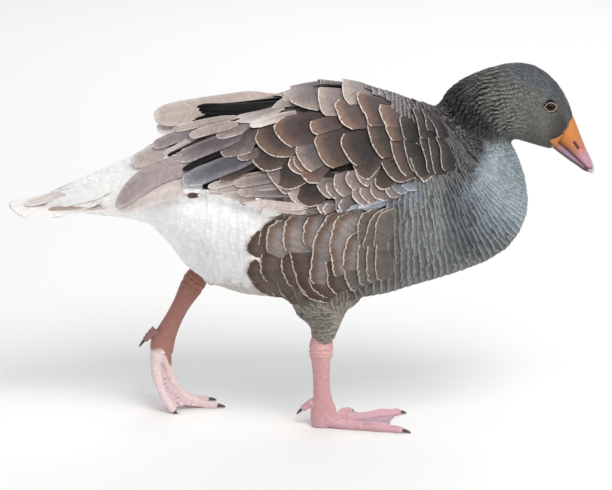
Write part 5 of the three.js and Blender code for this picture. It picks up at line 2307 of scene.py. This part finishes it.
@dataclass(frozen=True)
class PlumageFinish:
    """Feather: soft keratin barbs side by side, matt, with a faint sheen along them.

    The vane darkens and lightens along its barbs, which slant from the shaft to the tip, and its edge
    is a paler fringe with an uneven inner line. Barbs are drawn about twice as coarse as life.
    """

    name: str = "plumage_barbed_vane"
    barb_pitch: float = 1.8
    roughness: float = 0.78

    def build(self) -> Material:
        """Makes the material.

        Returns:
            The finish.
        """
        material, node = new_material(self.name)
        inner = node("Attribute", attribute_name="Inner")
        fringe = node("Attribute", attribute_name="Fringe")
        parts = node("SeparateXYZ", {0: node("Attribute", attribute_name="Vane").outputs["Vector"]})
        side = node("Math", {0: parts.outputs["Z"]}, operation="ABSOLUTE")
        slant = node("Math", {0: side, 1: -0.8, 2: parts.outputs["Y"]}, operation="MULTIPLY_ADD")
        place = node("TexCoord").outputs["Object"]
        where = node("VectorMath", {0: place, 1: (60.0, 60.0, 60.0)}, operation="MULTIPLY")
        drift = node("SeparateXYZ", {0: where})
        scaled = node("Math", {0: slant, 1: 1 / self.barb_pitch}, operation="MULTIPLY")
        wide = node("Math", {0: parts.outputs["Z"], 1: 0.06}, operation="MULTIPLY")
        line = node("CombineXYZ", {0: scaled, 1: wide, 2: drift.outputs["X"]})
        barbs = node("TexNoise", {"Vector": line, "Scale": 1.0, "Detail": 3.0, "Roughness": 0.6})
        barbs = barbs.outputs["Fac"]
        clouds = node("TexNoise", {"Vector": place, "Scale": 160.0, "Detail": 3.0}).outputs["Fac"]
        wobble = node("MapRange", {0: barbs, 1: 0.32, 2: 0.68, 3: 3.0, 4: 18.0})
        width = node("Math", {0: fringe.outputs["Alpha"], 1: wobble}, operation="MULTIPLY")
        within = node("Math", {0: width, 1: parts.outputs["X"]}, operation="SUBTRACT")
        share = node("MapRange", {0: within, 1: -0.8, 2: 0.5}, interpolation_type="SMOOTHSTEP")
        gain = node("MapRange", {0: barbs, 1: 0.3, 2: 0.7, 3: 0.76, 4: 1.2})
        cloud = node("MapRange", {0: clouds, 1: 0.3, 2: 0.7, 3: 0.93, 4: 1.06})
        flat = node("MapRange", {0: node("RGBToBW", {0: inner}), 1: 0.3, 2: 0.8, 3: 0.0, 4: 0.8})
        even = node("Mix", {0: flat, 2: gain, 3: 1.0})
        both = node("Math", {0: even, 1: cloud}, operation="MULTIPLY")
        mixed = node("Mix", {0: share, 6: inner, 7: fringe}, data_type="RGBA")
        shaft = node("MapRange", {0: side, 1: 0.15, 2: 0.5, 3: 1.22, 4: 1.0})
        lit = node("Math", {0: both, 1: shaft}, operation="MULTIPLY")
        shader = node("BsdfPrincipled", {
            "Base Color": node("VectorMath", {0: mixed.outputs[2], "Scale": lit}, operation="SCALE"),
            "Roughness": self.roughness,
            "IOR": 1.45,
            "Specular IOR Level": 0.25,
            "Sheen Weight": 0.12,
            "Sheen Roughness": 0.5,
            "Normal": node("Bump", {"Height": barbs, "Strength": 0.35, "Distance": 0.0003}),
        })
        node("OutputMaterial", {0: shader})
        return material


@dataclass(frozen=True)
class SkinFinish:
    """Skin with down: matt, with the coat's own markings, faintly mottled."""

    name: str = "skin_under_down"

    def build(self) -> Material:
        """Makes the material.

        Returns:
            The finish.
        """
        material, node = new_material(self.name)
        tone = node("Attribute", attribute_name="Skin")
        place = node("TexCoord").outputs["Object"]
        noise = node("TexNoise", {"Vector": place, "Scale": 300.0, "Detail": 4.0}).outputs["Fac"]
        gain = node("MapRange", {0: noise, 1: 0.3, 2: 0.7, 3: 0.55, 4: 0.75})
        shader = node("BsdfPrincipled", {
            "Base Color": node("VectorMath", {0: tone, "Scale": gain}, operation="SCALE"),
            "Roughness": 0.9,
            "Specular IOR Level": 0.2,
            "Normal": node("Bump", {"Height": noise, "Strength": 0.5, "Distance": 0.001}),
        })
        node("OutputMaterial", {0: shader})
        return material


@dataclass(frozen=True)
class BareFinish:
    """Horn or bare skin: painted tones with fine scales or pores, and a soft or waxy gloss.

    Scale and relief are in millimetres. Line is the tone left in the grooves between the scales, coat
    the waxy layer and through the light that passes the flesh.
    """

    name: str
    roughness: float
    scale_mm: float
    relief: float
    line: float
    coat: float = 0.0
    through: float = 0.0

    def build(self) -> Material:
        """Makes the material.

        Returns:
            The finish.
        """
        material, node = new_material(self.name)
        tone = node("Attribute", attribute_name="Tone")
        place = node("TexCoord").outputs["Object"]
        scale = 1 / (self.scale_mm * MM)
        cells = node("TexVoronoi", {"Vector": place, "Scale": scale}, feature="DISTANCE_TO_EDGE")
        noise = node("TexNoise", {"Vector": place, "Scale": 220.0, "Detail": 4.0})
        groove = node("MapRange", {0: cells.outputs["Distance"], 1: 0.0, 2: 0.16, 3: self.line, 4: 1.0})
        cloud = node("MapRange", {0: noise.outputs["Fac"], 1: 0.3, 2: 0.7, 3: 0.9, 4: 1.08})
        both = node("Math", {0: groove, 1: cloud}, operation="MULTIPLY")
        shader = node("BsdfPrincipled", {
            "Base Color": node("VectorMath", {0: tone, "Scale": both}, operation="SCALE"),
            "Roughness": self.roughness,
            "IOR": 1.5,
            "Coat Weight": self.coat,
            "Coat Roughness": 0.3,
            "Subsurface Weight": self.through,
            "Subsurface Radius": (0.004, 0.0015, 0.001),
            "Subsurface Scale": 1.0,
            "Normal": node("Bump", {"Height": both, "Strength": 0.5, "Distance": self.relief * MM}),
        })
        node("OutputMaterial", {0: shader})
        return material


@dataclass(frozen=True)
class EyeFinish:
    """Wet eye: a black pupil in a dark brown iris with fine rays, under a clear glossy cornea."""

    name: str = "eye_wet_cornea"
    pupil: float = 2.7
    iris: float = 5.4

    def build(self) -> Material:
        """Makes the material.

        Returns:
            The finish.
        """
        material, node = new_material(self.name)
        away = node("Attribute", attribute_name="Radius").outputs["Fac"]
        spin = node("Attribute", attribute_name="Spin").outputs["Vector"]
        flat = node("VectorMath", {0: spin}, operation="NORMALIZE")
        rays = node("TexNoise", {"Vector": flat, "Scale": 9.0, "Detail": 3.0}).outputs["Fac"]
        brown = node("Mix", {0: rays, 6: linear("1a0f0a"), 7: linear("38210f")}, data_type="RGBA")
        hole = node("MapRange", {0: away, 1: self.pupil - 0.3, 2: self.pupil + 0.3})
        rim = node("MapRange", {0: away, 1: self.iris - 0.8, 2: self.iris})
        inner = node("Mix", {0: hole, 6: linear("050404"), 7: brown.outputs[2]}, data_type="RGBA")
        whole = node("Mix", {0: rim, 6: inner.outputs[2], 7: linear("15100e")}, data_type="RGBA")
        shader = node("BsdfPrincipled", {
            "Base Color": whole.outputs[2],
            "Roughness": 0.12,
            "IOR": 1.35,
            "Specular IOR Level": 0.2,
            "Coat Weight": 0.08,
            "Coat Roughness": 0.03,
        })
        node("OutputMaterial", {0: shader})
        return material


@dataclass(frozen=True)
class PlainFinish:
    """Bare skin or horn of one colour, clouded and grained, with a soft gloss."""

    name: str
    dark: str
    light: str
    grain_mm: float
    roughness: float

    def build(self) -> Material:
        """Makes the material.

        Returns:
            The finish.
        """
        material, node = new_material(self.name)
        place = node("TexCoord").outputs["Object"]
        scale = 1 / (self.grain_mm * MM)
        noise = node("TexNoise", {"Vector": place, "Scale": scale, "Detail": 4.0}).outputs["Fac"]
        tone = node("Mix", {0: noise, 6: linear(self.dark), 7: linear(self.light)}, data_type="RGBA")
        shader = node("BsdfPrincipled", {
            "Base Color": tone.outputs[2],
            "Roughness": self.roughness,
            "IOR": 1.5,
            "Normal": node("Bump", {"Height": noise, "Strength": 0.4, "Distance": 0.0002}),
        })
        node("OutputMaterial", {0: shader})
        return material


# ---- studio


@dataclass
class Studio:
    """The floor, the lights and the camera."""

    lens: Lens
    floor_size: float = 14.0
    key_power: float = 84.0
    fill_power: float = 30.0
    film: float = 36.0
    aim: Spot = (0, 0, 0.22)

    def build(self) -> None:
        """Sets up everything that isn't the bird."""
        scene = bpy.context.scene
        scene.view_settings.view_transform = "Standard"
        world = bpy.data.worlds.new("studio_air")
        world.use_nodes = True
        scene.world = world
        shade = world.node_tree.nodes["Background"]
        shade.inputs["Color"].default_value = linear("f6f8fb")
        shade.inputs["Strength"].default_value = 0.60
        self.floor()
        self.light("key", (0.9, -2.3, 3.1), 1.8, self.key_power, "fffaf4")
        self.light("fill", (2.6, -1.6, 1.4), 2.4, self.fill_power, "f4f8ff")
        self.light("back", (0.4, 2.6, 2.2), 2.2, self.fill_power, "ffffff")
        camera = bpy.data.cameras.new("camera")
        camera.sensor_width = self.film
        camera.lens = self.film * self.lens.distance / (self.lens.width * self.lens.pixel_size)
        tilt = (math.radians(90 - self.lens.tilt_deg), 0, 0)
        scene.camera = self.hang("camera", camera, self.lens.place.tolist(), tilt)

    def hang(self, name: str, data: bpy.types.ID, place: Row, turn: Row) -> bpy.types.Object:
        """Puts a camera or a light in its place.

        Args:
            name: the object's name.
            data: the camera or light.
            place: where it stands.
            turn: its angles.

        Returns:
            The object.
        """
        holder = bpy.data.objects.new(name, data)
        holder.location = place
        holder.rotation_euler = turn
        bpy.context.scene.collection.objects.link(holder)
        return holder

    def floor(self) -> None:
        """Lays a plain pale floor."""
        work = bmesh.new()
        bmesh.ops.create_grid(work, x_segments=2, y_segments=2, size=self.floor_size / 2)
        material, node = new_material("floor_matt_paint")
        place = node("TexCoord").outputs["Object"]
        grain = node("TexNoise", {"Vector": place, "Scale": 900.0}).outputs["Fac"]
        shader = node("BsdfPrincipled", {
            "Base Color": linear("f2f2f1"),
            "Roughness": 0.9,
            "Specular IOR Level": 0.1,
            "Normal": node("Bump", {"Height": grain, "Strength": 0.05, "Distance": 0.0005}),
        })
        node("OutputMaterial", {0: shader})
        add_object("floor", mesh_from(work, "floor"), material)

    def light(self, name: str, place: Spot, size: float, power: float, tint: str) -> None:
        """Hangs one soft light that faces the bird.

        Args:
            name: the light's name.
            place: where it hangs.
            size: the side of its square.
            power: its power in watts.
            tint: its colour.
        """
        lamp = bpy.data.lights.new(name, "AREA")
        lamp.energy = power
        lamp.size = size
        lamp.color = linear(tint)[:3]
        way = Vector(self.aim) - Vector(place)
        self.hang(name, lamp, place, way.to_track_quat("-Z", "Y").to_euler())


def main() -> None:
    """Builds the goose and its studio."""
    logging.basicConfig(level=logging.INFO, format="%(name)s %(message)s", force=True)
    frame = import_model()
    lens = Lens()
    Studio(lens).build()
    form = Form(frame["nodes"])
    LOG.info("form: %d faces", len(form.corners))
    bird = (form, Chart(), Markings(), lens, np.random.default_rng(SEED))
    plumage = PlumageFinish().build()
    Skin(*bird).build(SkinFinish().build())
    covered = LargeFeathers(*bird).build(plumage)
    BodyCoat(*bird, covered).build(plumage)
    LegCoat(*bird).build(plumage)
    FlightFeathers(*bird).build(plumage)
    # Bill: smooth keratin with fine pores, waxy, and a little light passes through it.
    bill_horn = BareFinish(
        "bill_horn_keratin", roughness=0.42, scale_mm=1.6, relief=0.10, line=0.93, coat=0.2, through=0.06
    )
    Bill(form, lens).build(bill_horn.build())
    # Lids: thin bare skin, matt and faintly clouded.
    lid = PlainFinish("lid_bare_skin", dark="7d6c66", light="a08e85", grain_mm=1.4, roughness=0.6).build()
    Eyes().build(EyeFinish().build(), lid)
    # Legs and webs: small soft scales with darker grooves, low in gloss, with the flesh showing through.
    leg_skin = BareFinish(
        "leg_scaled_skin", roughness=0.52, scale_mm=1.9, relief=0.35, line=0.86, coat=0.06, through=0.12
    ).build()
    # Claws: dark horn, rubbed smooth by the ground.
    claw_horn = PlainFinish(
        "claw_horn_keratin", dark="2b2827", light="5d5752", grain_mm=2.0, roughness=0.35
    ).build()
    Leg(Side.RIGHT, SHANK_RIGHT, TOES_RIGHT).build(leg_skin, claw_horn)
    # The far leg: its darker, browner shank tones are painted shade.
    far = LegTones(
        toes="e6cfd0", web="dcc3c8", upper="a67268", middle="986454", top="9a5f50", hind="94696a",
        spots="8d5a5c",
    )
    Leg(Side.LEFT, SHANK_LEFT, TOES_LEFT, far).build(leg_skin, claw_horn)
    bpy.data.meshes.remove(form.mesh)


if __name__ == "__main__":
    main()
